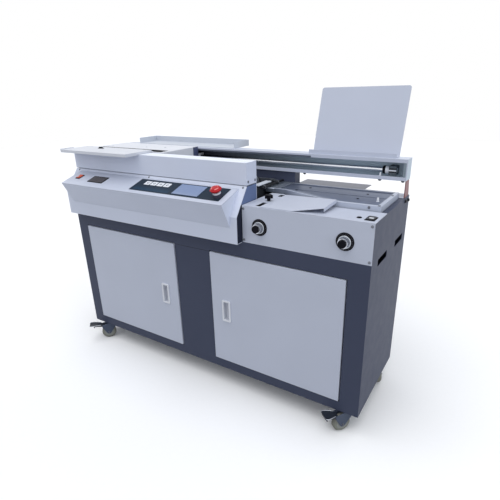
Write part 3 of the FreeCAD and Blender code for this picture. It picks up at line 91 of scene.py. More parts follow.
def operator(operation):
    """A method that makes a math node from its wire and what stands beside it."""
    return lambda wire, *others: wire.graph.math(operation, wire, *others)


class Wire:
    """An output socket that can stand in an expression."""

    def __init__(self, graph, socket):
        self.graph, self.socket = graph, socket

    __add__ = __radd__ = operator("ADD")
    __sub__ = operator("SUBTRACT")
    __mul__ = __rmul__ = operator("MULTIPLY")
    __truediv__ = operator("DIVIDE")
    __gt__ = operator("GREATER_THAN")
    __lt__ = operator("LESS_THAN")
    __abs__ = operator("ABSOLUTE")
    sine = operator("SINE")
    root = operator("SQRT")

    def __rsub__(self, other):
        return self.graph.math("SUBTRACT", other, self)

    def within(self, low, high):
        """1 between two values, 0 outside them."""
        return (self > low) * (self < high)

    def outputs(self):
        """Every output of the node that this one comes from, by name."""
        return {socket.name: Wire(self.graph, socket) for socket in self.socket.node.outputs}


class Graph:
    """A node tree and the methods that add nodes to it."""

    def __init__(self, tree):
        self.tree = tree

    def node(self, kind, settings=None, sockets=None, out=0):
        made = self.tree.nodes.new(kind)
        for name, value in (settings or {}).items():
            setattr(made, name, value)
        for key, value in (sockets or {}).items():
            if isinstance(value, Wire):
                self.tree.links.new(value.socket, made.inputs[key])
            else:
                made.inputs[key].default_value = value
        return Wire(self, made.outputs[out]) if made.outputs else made

    def math(self, operation, *values):
        return self.node("ShaderNodeMath", {"operation": operation}, dict(enumerate(values)))


class Finish(Graph):
    """A surface finish, patterned on the piece's own coordinates in metres."""

    def __init__(self, name):
        self.material = bpy.data.materials.new(name)
        self.material.use_nodes = True
        super().__init__(self.material.node_tree)
        self.tree.nodes.clear()
        self.place = self.node("ShaderNodeTexCoord", out="Object")

    def noise(self, scale, detail=3.0, stretch=(1, 1, 1)):
        """Cloudy variation from 0 to 1, with that many features to a metre."""
        spread = self.node("ShaderNodeMapping", {}, {"Vector": self.place, "Scale": stretch})
        return self.node("ShaderNodeTexNoise", {}, {"Vector": spread, "Scale": scale, "Detail": detail})

    def offset(self, centre):
        """The way from a centre to the place that is shaded."""
        return self.node("ShaderNodeVectorMath", {"operation": "SUBTRACT"}, {0: self.place, 1: tuple(centre)})

    def dot(self, first, second):
        return self.node("ShaderNodeVectorMath", {"operation": "DOT_PRODUCT"}, {0: first, 1: second}, "Value")

    def apart(self, centre=(0, 0, 0)):
        """The three coordinates, counted from a centre."""
        split = self.node("ShaderNodeSeparateXYZ", {}, {"Vector": self.offset(centre)})
        return split.outputs().values()

    def towards(self, centre, way):
        """How far a place lies from a centre along a direction."""
        return self.dot(self.offset(centre), tuple(way))

    def from_axle(self, centre, axis):
        """The distance from an axle through a centre."""
        moved = self.offset(centre)
        along = self.dot(moved, tuple(axis))
        return (self.dot(moved, moved) - along * along).root()

    def polar(self, across, above):
        """The radius and the angle of a place in a plane."""
        return (across * across + above * above).root(), self.math("ARCTAN2", above, across)

    def ease(self, value, low, high):
        """A smooth step from 0 at one value to 1 at another."""
        return self.node("ShaderNodeMapRange", {"interpolation_type": "SMOOTHSTEP"},
                         {"Value": value, "From Min": low, "From Max": high})

    def blend(self, mask, low, high):
        tones = [tone if isinstance(tone, Wire) else (*tone, 1) for tone in (low, high)]
        return self.node("ShaderNodeMix", {"data_type": "RGBA"},
                         {0: mask, 6: tones[0], 7: tones[1]}, out=2)

    def rounding(self, radius):
        return self.node("ShaderNodeBevel", {"samples": 4}, {"Radius": radius})

    def edges(self, soft):
        """1 along sharp outer and inner edges, 0 on flat faces."""
        facing = self.node("ShaderNodeNewGeometry", out="Normal")
        return self.ease(1 - self.dot(soft, facing), 0.02, 0.25)

    def bump(self, height, depth, soft):
        return self.node("ShaderNodeBump", {},
                         {"Height": height, "Distance": depth, "Strength": 1.0, "Normal": soft})

    def surface(self, tone, roughness, normal, **fixed):
        sockets = {"Base Color": tone, "Roughness": roughness, "Normal": normal, **fixed}
        shader = self.node("ShaderNodeBsdfPrincipled", {}, sockets)
        self.node("ShaderNodeOutputMaterial", {}, {"Surface": shader})
        return self.material


def shade(tone, factor):
    return tuple(channel * factor for channel in tone)


# Kinds of finish

def powder_coat(name, tone, worn, roughness=0.45, area=None, **fixed):
    """Baked paint on sheet steel: faint clouding, orange peel, smudges and rubbed edges."""
    paint = Finish(name)
    soft = paint.rounding(1.0 * MM)
    edge = paint.edges(soft)
    clouds = paint.noise(5, 4)
    smudges = paint.noise(28, 5)
    peel = paint.noise(700, 2)
    coat = paint.blend(clouds, shade(tone, 0.95), shade(tone, 1.05))
    if area:
        coat = area(paint, coat)
    coat = paint.blend(edge * (0.2 + smudges * 0.5), coat, worn)
    gloss = roughness - 0.07 + smudges * 0.14
    return paint.surface(coat, gloss, paint.bump(peel, 0.05 * MM, soft), **fixed)


def ground_metal(name, tone, stretch, roughness=0.34, area=None):
    """Ground or drawn metal whose fine lines run along one direction."""
    metal = Finish(name)
    soft = metal.rounding(0.6 * MM)
    edge = metal.edges(soft)
    lines = metal.noise(600, 3, stretch)
    stain = metal.noise(24, 4)
    face = metal.blend(stain, shade(tone, 0.86), shade(tone, 1.08))
    if area:
        face = area(metal, face)
    face = metal.blend(edge * 0.5, face, shade(tone, 1.3))
    return metal.surface(face, roughness - 0.12 + lines * 0.2 + stain * 0.06,
                         metal.bump(lines, 0.02 * MM, soft), Metallic=1.0)


def cast_metal(name, tone, roughness=0.5):
    """Sand-cast metal with a grainy skin."""
    metal = Finish(name)
    soft = metal.rounding(1.2 * MM)
    grain = metal.noise(420, 4)
    stain = metal.noise(18, 4)
    edge = metal.edges(soft)
    face = metal.blend(stain, shade(tone, 0.8), shade(tone, 1.12))
    face = metal.blend(edge * 0.5, face, shade(tone, 1.5))
    return metal.surface(face, roughness - 0.08 + grain * 0.16, metal.bump(grain, 0.12 * MM, soft),
                         Metallic=0.9)


def moulded(name, tone, roughness=0.5, grain_depth=0.03, area=None, **fixed):
    """Moulded plastic with a fine spark-eroded texture and edges painted lighter: a painted sheen."""
    plastic = Finish(name)
    soft = plastic.rounding(0.8 * MM)
    grain = plastic.noise(1400, 2)
    haze = plastic.noise(40, 4)
    edge = plastic.edges(soft)
    face = plastic.blend(haze, shade(tone, 0.92), shade(tone, 1.08))
    if area:
        face = area(plastic, face)
    face = plastic.blend(edge * 0.3, face, tuple(min(1.0, part * 1.25 + 0.015) for part in tone))
    return plastic.surface(face, roughness - 0.06 + haze * 0.12,
                           plastic.bump(grain, grain_depth * MM, soft), **fixed)


TYRE_START, WHEEL_RADIUS = mm(21, 32)
TYRE, HUB, ROAD_DUST = (0.20, 0.205, 0.175), (0.24, 0.25, 0.235), (0.26, 0.25, 0.22)


def wheel_finish(name, axle):
    """A rubber tyre on a paler moulded hub, told apart by the distance from the axle."""
    wheel = Finish(name)
    soft = wheel.rounding(1.0 * MM)
    seam_half, groove_low, groove_high, tread_depth = mm(0.4, 0.3, 1.0, 1.5)
    radius = wheel.from_axle(axle["pos_m"], axle["axis"])
    rubber = wheel.ease(radius, TYRE_START - seam_half, TYRE_START + seam_half)
    dust = wheel.noise(90, 5)
    grain = wheel.noise(900, 3)
    tread = wheel.ease(radius, WHEEL_RADIUS - tread_depth, WHEEL_RADIUS)
    face = wheel.blend(rubber, HUB, TYRE)
    face = wheel.blend(tread * dust * 0.6, face, ROAD_DUST)
    groove = wheel.ease(abs(radius - TYRE_START), groove_low, groove_high)
    return wheel.surface(face, 0.46 + rubber * 0.2 + dust * 0.1,
                         wheel.bump(groove * 4 + grain * 0.3, 0.15 * MM, soft))


KNOB_METAL = (0.60, 0.62, 0.68)
KNOB_RIDGES = 48
KNOB_GRIP_START = 15.5 * MM
TURNING_LINES = 9000


def knurled_metal(name, centre):
    """Turned metal about an axis along Y, ribbed on its outer grip."""
    metal = Finish(name)
    soft = metal.rounding(0.5 * MM)
    blur = 0.3 * MM
    across, _, above = metal.apart(centre)
    radius, angle = metal.polar(across, above)
    rib = (angle * KNOB_RIDGES).sine() * 0.5 + 0.5
    grip = metal.ease(radius, KNOB_GRIP_START - blur, KNOB_GRIP_START + blur)
    rings = (radius * TURNING_LINES).sine() * 0.5 + 0.5
    stain = metal.noise(60, 3)
    face = metal.blend(stain, shade(KNOB_METAL, 0.9), shade(KNOB_METAL, 1.06))
    # The grooves between the ribs are painted darker: painted shade.
    face = metal.blend((1 - rib) * grip * 0.55, face, shade(KNOB_METAL, 0.35))
    height = rib * grip + rings * (1 - grip) * 0.08
    return metal.surface(face, 0.24 + stain * 0.14, metal.bump(height, 0.5 * MM, soft), Metallic=1.0)


# Areas of a finish that differ from the rest of it

# A darker tone towards the left end; inside the rail channel it is painted shade.
LEFTWARD_DARK = (0.055, 0.065, 0.095)
BLACK = (0, 0, 0)
LIP_EDGE_SHADE = (0.075, 0.090, 0.130)
LIP_CHANNEL_SHADE = (0.19, 0.235, 0.275)
CHANNEL_INSIDE = (0.50, 0.60, 0.69)
# Dark band and bright line painted on the shaft supports: painted reflection and painted highlight.
SHAFT_END_DARK = (0.012, 0.014, 0.020)
SHAFT_END_HIGHLIGHT = (0.72, 0.75, 0.80)
KEY_FIELD = (0.022, 0.050, 0.090)
HOOD_JOINT = (0.045, 0.050, 0.065)
HOOD_TOP_LIGHT = (0.80, 0.84, 0.93)
KEY_RING = (0.13, 0.14, 0.17)
NIP_SHADE, NIP_SOFT_SHADE = (0.075, 0.090, 0.115), (0.190, 0.215, 0.285)
SLOT_SHADE = (0.008, 0.009, 0.012)
END_PLATE_SHADE = (0.020, 0.024, 0.042)
CARRIAGE_REAR = (0.060, 0.075, 0.150)
JAW_RUBBER = (0.008, 0.008, 0.010)
FRAME_SEAM = (0.010, 0.012, 0.022)
COLLAR_FOOT = (0.030, 0.032, 0.055)
STOP_ARCS = (0.70, 0.22, 0.21)
DIAL_TICKS = (0.12, 0.12, 0.14)
PULL_HOLLOW_SHADE = (0.57, 0.59, 0.65)
ROCKER_INSERT = (0.66, 0.68, 0.72)


def darker_leftwards(paint, coat, node="rail_beam", darkest_until=450, plain_from=1100):
    """Darker towards the left end of a node, where the carriage stands."""
    low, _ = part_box(node)
    along, _, _ = paint.apart(low)
    return paint.blend(paint.ease(along, *mm(darkest_until, plain_from)), LEFTWARD_DARK, coat)


def beam_inside(paint, coat):
    """The channel's inside is a blue-grey, painted darker towards the left as painted shade; the upper lip's
    lower edge is painted dark along most of its length, and the right lip is painted the grey of the shaded
    channel inside its bright rim: both painted shade."""
    low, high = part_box("rail_beam")
    along, depth, above = paint.apart()
    wall, skin, lip, slack, rim, edge_drop, edge_end = mm(2.6, 1.2, 12, 0.5, 3.5, 6, 339)
    front = depth < low.y + wall
    # The upper lip's lower edge is painted dark along most of its length: painted shade.
    edge = front * (along < high.x - edge_end) * above.within(high.z - lip - slack, high.z - edge_drop)
    coat = paint.blend(edge, coat, LIP_EDGE_SHADE)
    # The right lip's face inside its rim is painted the grey of the shaded channel: painted shade.
    end = front * along.within(high.x - lip - slack, high.x - rim) * above.within(low.z + lip, high.z - lip)
    coat = paint.blend(end, coat, LIP_CHANNEL_SHADE)
    inner = depth.within(low.y + wall, high.y - skin) * above.within(low.z + skin, high.z - skin)
    # The inside is painted darker towards the left end: painted shade.
    return paint.blend(inner, coat, darker_leftwards(paint, CHANNEL_INSIDE))


def shaft_darkening(metal, face):
    """The shaft is darker towards its left end, beside the carriage."""
    return darker_leftwards(metal, face, "guide_shaft", 560, 700)


def painted_shaft_end(paint, coat):
    """The shaft's end is painted across the front of each support: a dark band for its dark reflection, with
    a painted highlight along its middle.
    """
    low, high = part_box("guide_shaft")
    block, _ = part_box("shaft_supports")
    _, depth, above = paint.apart((0, block.y, (low.z + high.z) / 2))
    skin, band_half, highlight_half = mm(0.6, 7.5, 2.2)
    # A dark band standing in for the shaft end's dark reflection: painted reflection.
    shaft_band = (depth < skin) * above.within(-band_half, band_half)
    coat = paint.blend(shaft_band, darker_leftwards(paint, coat), SHAFT_END_DARK)
    # A bright line along the middle of the band: painted highlight.
    return paint.blend(shaft_band * above.within(-highlight_half, highlight_half), coat, SHAFT_END_HIGHLIGHT)


def key_field(paint, coat):
    """The control panel's film is lighter round its keys."""
    low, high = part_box("control_panel")
    along, _, above = paint.apart((low.x, 0, low.z))
    left, left_full, right_full, right = mm(4, 24, 180, 186)
    bottom, bottom_full = mm(2, 4)
    top, top_full = (high.z - low.z - drop for drop in mm(12, 24))
    inside = (paint.ease(along, left, left_full) * paint.ease(along, right, right_full)
              * paint.ease(above, top, top_full) * paint.ease(above, bottom, bottom_full))
    return paint.blend(inside, coat, KEY_FIELD)


def hood_seam(paint, coat):
    """A dark joint along the hood, where the console shroud meets it, and its top face painted lighter:
    painted light.
    """
    low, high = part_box("hood")
    _, shroud_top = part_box("console_shroud")
    _, depth, above = paint.apart((0, low.y, shroud_top.z))
    skin, joint_low, joint_high = mm(0.8, -0.5, 2)
    coat = paint.blend((depth < skin) * above.within(joint_low, joint_high), coat, HOOD_JOINT)
    _, _, over = paint.apart(high)
    # The top face is painted lighter: painted light.
    top_light = 0.9
    return paint.blend((over > -skin) * top_light, coat, HOOD_TOP_LIGHT)


def slope_tone(paint, coat):
    """The console's sloping face is painted darker than its front: painted shade."""
    top, _, out = slope()
    front_end, face_start = mm(-5, -2.5)
    slope_shade = 0.19
    return paint.blend(paint.ease(paint.towards(top, out), front_end, face_start) * slope_shade, coat, BLACK)


def key_marks(plastic, face):
    """A plain dark ring on each membrane key."""
    _, _, out = slope()
    inner, outer = mm(2.4, 5.2)
    marks = sum(plastic.from_axle(spot, out).within(inner, outer) for spot in key_spots())
    return plastic.blend(marks, face, KEY_RING)


def nip_rims(paint, coat):
    """The nip frame keeps its bright paint at its right end and along its front edge, and elsewhere is
    painted dark like its plates: painted shade, deepest at its left end."""
    low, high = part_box("nip_frame")
    along, depth, above = paint.apart(low)
    slant_start, slant_end, slant_back = mm(42, 258, 84)
    front = paint.node("ShaderNodeMapRange", {}, {
        "Value": along, "From Min": slant_start, "From Max": slant_end, "To Min": slant_back, "To Max": 0})
    behind = depth - front
    rim, skin, wall_start, wall_full = mm(4.5, 0.6, 40, 130)
    corner_start, corner_depth, right_rim = mm(253, 15, 12)
    size = high - low
    bright = (behind < rim) * (above > size.z - skin)
    wall = (behind < rim) * paint.ease(along, wall_start, wall_full)
    corner = (along > corner_start) * (behind < corner_depth)
    for part in (wall, corner, along > size.x - right_rim):
        bright = paint.math("MAXIMUM", bright, part)
    # Painted shade over the rest of the frame, darkest at its left end.
    shade_start, shade_end = mm(-30, 90)
    dark = paint.blend(paint.ease(along, shade_start, shade_end), NIP_SHADE, NIP_SOFT_SHADE)
    return paint.blend(bright, dark, coat)


def guide_slot(paint, coat):
    """The table is painted black round the slot for the cover guide: painted shade that widens the slot's
    dark.
    """
    low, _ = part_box("station_top")
    across, depth, _ = paint.apart(low)
    middle, half_width, front, back = mm(52.5, 8.6, 13, 184)
    inside = across.within(middle - half_width, middle + half_width) * depth.within(front, back)
    return paint.blend(inside, coat, SLOT_SHADE)


def plate_foot_shade(paint, coat):
    """The right end plate is painted dark below the table, in the gap beside the cover station: painted
    shade.
    """
    _, table_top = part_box("station_top")
    along, _, above = paint.apart()
    return paint.blend((above < table_top.z) * (along > 0), coat, END_PLATE_SHADE)


def carriage_end(paint, coat):
    """The rear of the carriage's right end is painted dark."""
    low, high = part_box("carriage")
    along, depth, _ = paint.apart()
    skin, dark_start = mm(0.5, 179)
    rear = (along > high.x - skin) * (depth > low.y + dark_start)
    return paint.blend(rear, coat, CARRIAGE_REAR)


def jaw_facing(paint, coat):
    """The moving jaw's gripping face is black rubber."""
    low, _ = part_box("clamp_jaw")
    _, depth, _ = paint.apart(low)
    skin = 0.6 * MM
    return paint.blend(depth < skin, coat, JAW_RUBBER)


def frame_seam(paint, coat):
    """A dark seam where the middle upright meets the upper rail of the front frame."""
    _, left_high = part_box("left_door")
    right_low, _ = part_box("right_door")
    along, _, above = paint.apart()
    half = 0.8 * MM
    seam = above.within(left_high.z - half, left_high.z + half) * along.within(left_high.x, right_low.x)
    return paint.blend(seam, coat, FRAME_SEAM)


def stop_collar(plastic, face):
    """The stop button's collar is dark below and bright under the head."""
    top, _, out = slope()
    dark_end, bright_start = mm(10.5, 12)
    return plastic.blend(plastic.ease(plastic.towards(top, out), dark_end, bright_start),
                         COLLAR_FOOT, face)


def stop_marks(plastic, face):
    """Three pale arcs round the top of the stop button: marks for its twist release, and also a painted
    highlight ring on the head.
    """
    low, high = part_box("estop_head")
    _, down, _ = slope()
    centre = (low + high) / 2
    radius, angle = plastic.polar(plastic.towards(centre, X), plastic.towards(centre, down))
    arcs = radius.within(*mm(10, 14.5)) * ((angle * 3).sine() > -0.1)
    return plastic.blend(arcs, face, STOP_ARCS)


def dial_marks(plastic, face):
    """Short grey ticks round both dials."""
    low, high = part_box("dial_rings")
    rim = (high.z - low.z) / 2
    tick_outer, tick_inner = (rim - inset for inset in mm(2, 5.5))
    tick_count, tick_edge = 30, 0.8
    marks = 0
    for side in SIDES:
        across, _, above = plastic.apart(JOINTS[f"{side}_knob_turn"]["pos_m"])
        radius, angle = plastic.polar(across, above)
        marks += radius.within(tick_inner, tick_outer) * ((angle * tick_count).sine() > tick_edge)
    return plastic.blend(marks, face, DIAL_TICKS)


def pull_recess(plastic, face):
    """The hollow behind the rim of a door pull is painted darker: painted shade, and dust."""
    low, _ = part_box("left_pull")
    _, depth, _ = plastic.apart(low)
    rim_end, hollow_start = mm(1.5, 4)
    return plastic.blend(plastic.ease(depth, rim_end, hollow_start), face, PULL_HOLLOW_SHADE)


def rocker_mark(plastic, face):
    """A pale insert across the middle of a dark rocker."""
    low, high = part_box("table_rocker")
    across, along, _ = plastic.apart((low + high) / 2)
    half_width, half_depth = (high.x - low.x) * 0.25, (high.y - low.y) * 0.17
    inside = across.within(-half_width, half_width) * along.within(-half_depth, half_depth)
    return plastic.blend(inside, face, ROCKER_INSERT)


# The machine's finishes

PALE, PALE_WORN = (0.585, 0.625, 0.745), (0.72, 0.76, 0.84)
SLATE, SLATE_WORN = (0.043, 0.052, 0.089), (0.13, 0.14, 0.18)
SATIN, SATIN_WORN = (0.62, 0.64, 0.70), (0.80, 0.81, 0.85)
WHITE_PLASTIC = (0.72, 0.74, 0.79)
DULL = {"Specular IOR Level": 0.21}
MATT = {"Specular IOR Level": 0.06}
LINES_ALONG_X, LINES_ALONG_Z, NO_LINES = (0.02, 1, 1), (1, 1, 0.3), (1, 1, 1)


def make_finishes():
    finishes = {
        "pale": powder_coat("pale powder coat", PALE, PALE_WORN),
        "hood": powder_coat("hood powder coat", shade(PALE, 1.05), PALE_WORN, area=hood_seam),
        # The console case is painted a shade lighter than the pale paint, so that its front reads as lit:
        # painted light.
        "console_case": powder_coat("console powder coat", shade(PALE, 1.08), PALE_WORN, area=slope_tone),
        "door": powder_coat("door powder coat", shade(PALE, 0.85), PALE_WORN),
        "station_top": powder_coat("table powder coat", shade(PALE, 0.83), PALE_WORN, area=guide_slot),
        "cover_guide": powder_coat("guide powder coat", shade(PALE, 0.83), PALE_WORN),
        "slate": powder_coat("slate powder coat", SLATE, SLATE_WORN, 0.52, **DULL),
        "front_frame": powder_coat("front frame powder coat", SLATE, SLATE_WORN, 0.52, frame_seam, **DULL),
        "end_plates": powder_coat("blue slate powder coat", (0.135, 0.182, 0.325), (0.20, 0.24, 0.36), 0.5,
                                  plate_foot_shade, **MATT),
        "rear_wall": powder_coat("dark wall paint", (0.062, 0.075, 0.130), SLATE_WORN, 0.5),
        "rail_beam": powder_coat("beam powder coat", shade(PALE, 0.87), PALE_WORN, area=beam_inside),
        "rear_cover_tray": powder_coat("beige sheet paint", (0.140, 0.147, 0.185), (0.27, 0.27, 0.30)),
        "support_post": powder_coat("salmon post paint", (0.20, 0.066, 0.072), (0.32, 0.17, 0.16)),
        "platform": powder_coat("platform paint", SATIN, SATIN_WORN),
        "clamp_jaw": powder_coat("jaw paint", SATIN, SATIN_WORN, area=jaw_facing),
        "tray": powder_coat("rear tray paint", (0.53, 0.565, 0.635), PALE_WORN),
        # The supports' tone is darkened to the shaded channel round them: painted shade.
        "shaft_supports": powder_coat("shaft support paint", (0.085, 0.105, 0.125), (0.28, 0.33, 0.37), 0.5,
                                      painted_shaft_end, **DULL),
        "carriage": powder_coat("carriage paint", (0.66, 0.68, 0.74), SATIN_WORN, area=carriage_end),
        "guide_shaft": ground_metal("ground shaft steel", (0.60, 0.62, 0.66), LINES_ALONG_X, 0.26,
                                    shaft_darkening),
        "nip steel": ground_metal("brushed nip plate steel", (0.20, 0.235, 0.33), LINES_ALONG_X, 0.44),
        "frame steel": powder_coat("nip frame paint", (0.44, 0.48, 0.58), (0.58, 0.62, 0.70), 0.40, nip_rims),
        "zinc": ground_metal("zinc plated sheet", (0.52, 0.55, 0.60), LINES_ALONG_Z, 0.38),
        "fork": powder_coat("caster fork plating", (0.066, 0.084, 0.128), (0.34, 0.37, 0.42), 0.40, **DULL),
        "milling_motor": cast_metal("cast aluminium", (0.42, 0.44, 0.47)),
        # The tank is painted near black so that it reads as the shaded hollow round the roller: painted
        # shade.
        "dark cast": cast_metal("sooty cast tank", (0.10, 0.11, 0.13), 0.55),
        "black": moulded("black moulded plastic", (0.005, 0.005, 0.008), 0.48, **MATT),
        "dial_rings": moulded("black dial plastic", (0.002, 0.002, 0.004), 0.60, 0.01, dial_marks, **MATT),
        "white": moulded("white moulded plastic", WHITE_PLASTIC, 0.40),
        "key": moulded("membrane key plastic", WHITE_PLASTIC, 0.40, area=key_marks),
        "pull": moulded("door pull plastic", WHITE_PLASTIC, 0.40, area=pull_recess),
        "table_rocker": moulded("two tone rocker", (0.035, 0.037, 0.042), 0.34, 0.01, rocker_mark),
        "pedal": powder_coat("pedal plating", (0.020, 0.025, 0.036), (0.50, 0.52, 0.55), 0.36, **DULL),
        "dark screw": ground_metal("blackened screw zinc", (0.16, 0.17, 0.20), NO_LINES, 0.42),
        "black steel": cast_metal("black oxide steel", (0.030, 0.032, 0.038), 0.45),
        "estop_base": moulded("grey moulded collar", (0.58, 0.60, 0.66), 0.45, area=stop_collar, **DULL),
        "scrap_bin": moulded("scrap bin plastic", (0.12, 0.14, 0.17), 0.55),
        "estop_head": moulded("stop button red", (0.44, 0.012, 0.018), 0.24, 0.01, stop_marks, **DULL),
        "power_rocker": moulded("lit rocker orange", (0.62, 0.075, 0.03), 0.24, 0.01, **DULL),
        "control_panel": powder_coat("membrane film", (0.020, 0.032, 0.050), (0.07, 0.09, 0.12), 0.36,
                                     key_field, **MATT),
        "screen": moulded("display window", (0.19, 0.255, 0.42), 0.16, 0.004, **{"Coat Weight": 0.3}),
        "brown": moulded("dark plate lacquer", (0.055, 0.048, 0.050), 0.34, 0.01),
    }
    for side in SIDES:
        finishes[f"{side}_knob"] = knurled_metal(f"{side} knob metal", JOINTS[f"{side}_knob_turn"]["pos_m"])
    for corner in CORNERS:
        finishes[f"{corner}_wheel"] = wheel_finish(f"{corner} wheel rubber", JOINTS[f"{corner}_wheel_spin"])
    return finishes


SHARED_FINISH = {
    "pale": ("console_shroud",),
    "tray": ("rear_tray",),
    "door": ("left_door", "right_door", "station_panel", "cover_board"),
    "slate": ("base_pan", "left_side_panel", "right_side_panel", "rear_panel", "deck_plate"),
    "frame steel": ("nip_frame",),
    "nip steel": ("nip_front_plate", "nip_rear_plate"),
    "zinc": ("caster_plates", "milling_cutter", "glue_roller"),
    "fork": tuple(f"{corner}_fork" for corner in CORNERS),
    "dark cast": ("glue_tank",),
    "black": ("mains_inlet", "power_bezel", "table_bezel", "star_knob"),
    "pedal": ("front_left_pedal", "front_right_pedal"),
    "pull": ("left_pull", "right_pull"),
}


def paint_nodes(finishes):
    """Give each node the finish that it shares, or else the finish of its own name."""
    shared = {node: finish for finish, nodes in SHARED_FINISH.items() for node in nodes}
    for node, made in frame["nodes"].items():
        made.data.materials.clear()
        made.data.materials.append(finishes[shared.get(node, node)])


# Shapes

SHARP_FROM = math.radians(32)
LEAST_CORNER = 0.05


def piece(name, mesh, body):
    mesh.set_sharp_from_angle(angle=SHARP_FROM)
    made = bpy.data.objects.new(name, mesh)
    bpy.context.scene.collection.objects.link(made)
    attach(made, body)


def lofted(name, body, slot, *skins):
    """A piece of closed skins, each (loops, finish), where a skin runs from its first loop to its last."""
    shape = bmesh.new()
    mesh = bpy.data.meshes.new(name)
    for number, (loops, finish) in enumerate(skins):
        mesh.materials.append(finish)
        rings = [[shape.verts.new(point) for point in loop] for loop in loops]
        faces = [shape.faces.new(rings[0]), shape.faces.new(rings[-1])]
        for lower, upper in zip(rings, rings[1:]):
            for corner in range(len(lower)):
                after = (corner + 1) % len(lower)
                faces.append(shape.faces.new((lower[corner], lower[after], upper[after], upper[corner])))
        for face in faces:
            face.material_index, face.smooth = number, True
    bmesh.ops.recalc_face_normals(shape, faces=shape.faces)
    shape.to_mesh(mesh)
    shape.free()
    piece(name, mesh, body)


def full_turn(steps):
    """Even angles round a circle."""
    return [2 * math.pi * step / steps for step in range(steps)]


def turned(centre, axis, profile, sides=40):
    """Round loops about an axis, from (radius, height) pairs in millimetres."""
    axis = Vector(axis).normalized()
    first = axis.orthogonal().normalized()
    second = axis.cross(first)
    return [[centre + (axis * height + (first * math.cos(turn) + second * math.sin(turn)) * radius) * MM
             for turn in full_turn(sides)] for radius, height in profile]


def rounded_slab(centre, along, across, size, profile, steps=6):
    """Rounded rectangular loops that stand on the plane of along and across. In millimetres, the size is
    (width, depth, corner radius) and the profile has (inset, height) pairs."""
    rise = along.cross(across)
    width, depth, corner = size
    loops = []
    for inset, height in profile:
        radius = max(corner - inset, LEAST_CORNER)
        half_width, half_depth = width / 2 - inset - radius, depth / 2 - inset - radius
        loop = []
        for quarter, (side, end) in enumerate(((1, 1), (-1, 1), (-1, -1), (1, -1))):
            for step in range(steps + 1):
                turn = (quarter + step / steps) * math.pi / 2
                sideways = along * (side * half_width + radius * math.cos(turn))
                endways = across * (end * half_depth + radius * math.sin(turn))
                loop.append(centre + (sideways + endways + rise * height) * MM)
        loops.append(loop)
    return loops


# Repeated pieces

def repeated(name, spots, sizes, form, finish, body):
    """One piece that repeats a form at every spot, where a spot is (place, direction it faces)."""
    seeds = bpy.data.meshes.new(name + "_seeds")
    seeds.from_pydata([tuple(place) for place, _ in spots], [], [])
    facing = seeds.attributes.new("facing", "FLOAT_VECTOR", "POINT")
    for entry, (_, direction) in zip(facing.data, spots):
        entry.vector = direction
    tree = bpy.data.node_groups.new(name, "GeometryNodeTree")
    tree.interface.new_socket("Geometry", in_out="INPUT", socket_type="NodeSocketGeometry")
    for size in sizes:
        tree.interface.new_socket(size, in_out="INPUT", socket_type="NodeSocketFloat")
    tree.interface.new_socket("Geometry", in_out="OUTPUT", socket_type="NodeSocketGeometry")
    graph = Graph(tree)
    given = graph.node("NodeGroupInput").outputs()
    direction = graph.node("GeometryNodeInputNamedAttribute", {"data_type": "FLOAT_VECTOR"},
                           {"Name": "facing"})
    turn = graph.node("FunctionNodeAlignRotationToVector", {"axis": "Z"}, {"Vector": direction})
    copies = graph.node("GeometryNodeInstanceOnPoints", {},
                        {"Points": given["Geometry"], "Instance": form(graph, given), "Rotation": turn})
    solid = graph.node("GeometryNodeRealizeInstances", {}, {"Geometry": copies})
    coated = graph.node("GeometryNodeSetMaterial", {}, {"Geometry": solid, "Material": finish})
    graph.node("NodeGroupOutput", {}, {"Geometry": coated})
    holder = bpy.data.objects.new(name + "_holder", seeds)
    bpy.context.scene.collection.objects.link(holder)
    repeat = holder.modifiers.new("repeat", "NODES")
    repeat.node_group = tree
    for socket in tree.interface.items_tree:
        if socket.in_out == "INPUT" and socket.name in sizes:
            repeat[socket.identifier] = sizes[socket.name] * MM
    ready = holder.evaluated_get(bpy.context.evaluated_depsgraph_get())
    mesh = bpy.data.meshes.new_from_object(ready)
    bpy.data.objects.remove(holder)
    piece(name, mesh, body)


def raised(graph, form, height):
    shift = graph.node("ShaderNodeCombineXYZ", {}, {2: height})
    return graph.node("GeometryNodeTransform", {}, {"Geometry": form, "Translation": shift})


def joined(graph, *forms):
    join = graph.node("GeometryNodeJoinGeometry")
    for form in forms:
        graph.tree.links.new(form.socket, join.socket.node.inputs[0])
    return join


def drum(graph, sides, radius, height):
    """A round or many-sided drum that stands on the plane."""
    made = graph.node("GeometryNodeMeshCylinder", {}, {"Vertices": sides, "Radius": radius, "Depth": height})
    return raised(graph, made, height * 0.5)


def screw_head(graph, given):
    """A low domed head with a cross recess."""
    radius, height, arm = given["Head radius"], given["Head height"], given["Recess width"]
    reach = radius * 1.2
    ball = graph.node("GeometryNodeMeshUVSphere", {}, {"Segments": 28, "Rings": 14, "Radius": radius})
    flat = graph.node("ShaderNodeCombineXYZ", {}, {0: 1.0, 1: 1.0, 2: height * 0.55 / radius})
    dome = graph.node("GeometryNodeTransform", {}, {"Geometry": ball, "Scale": flat})
    bars = []
    for x, y in ((reach, arm), (arm, reach)):
        size = graph.node("ShaderNodeCombineXYZ", {}, {0: x, 1: y, 2: height})
        bar = graph.node("GeometryNodeMeshCube", {}, {"Size": size})
        bars.append(raised(graph, bar, height * 1.15))
    cut = graph.node("GeometryNodeMeshBoolean", {"operation": "DIFFERENCE"},
                     {"Mesh 1": raised(graph, dome, height * 0.45), "Mesh 2": joined(graph, *bars)})
    return joined(graph, cut, drum(graph, 28, radius, height * 0.45))


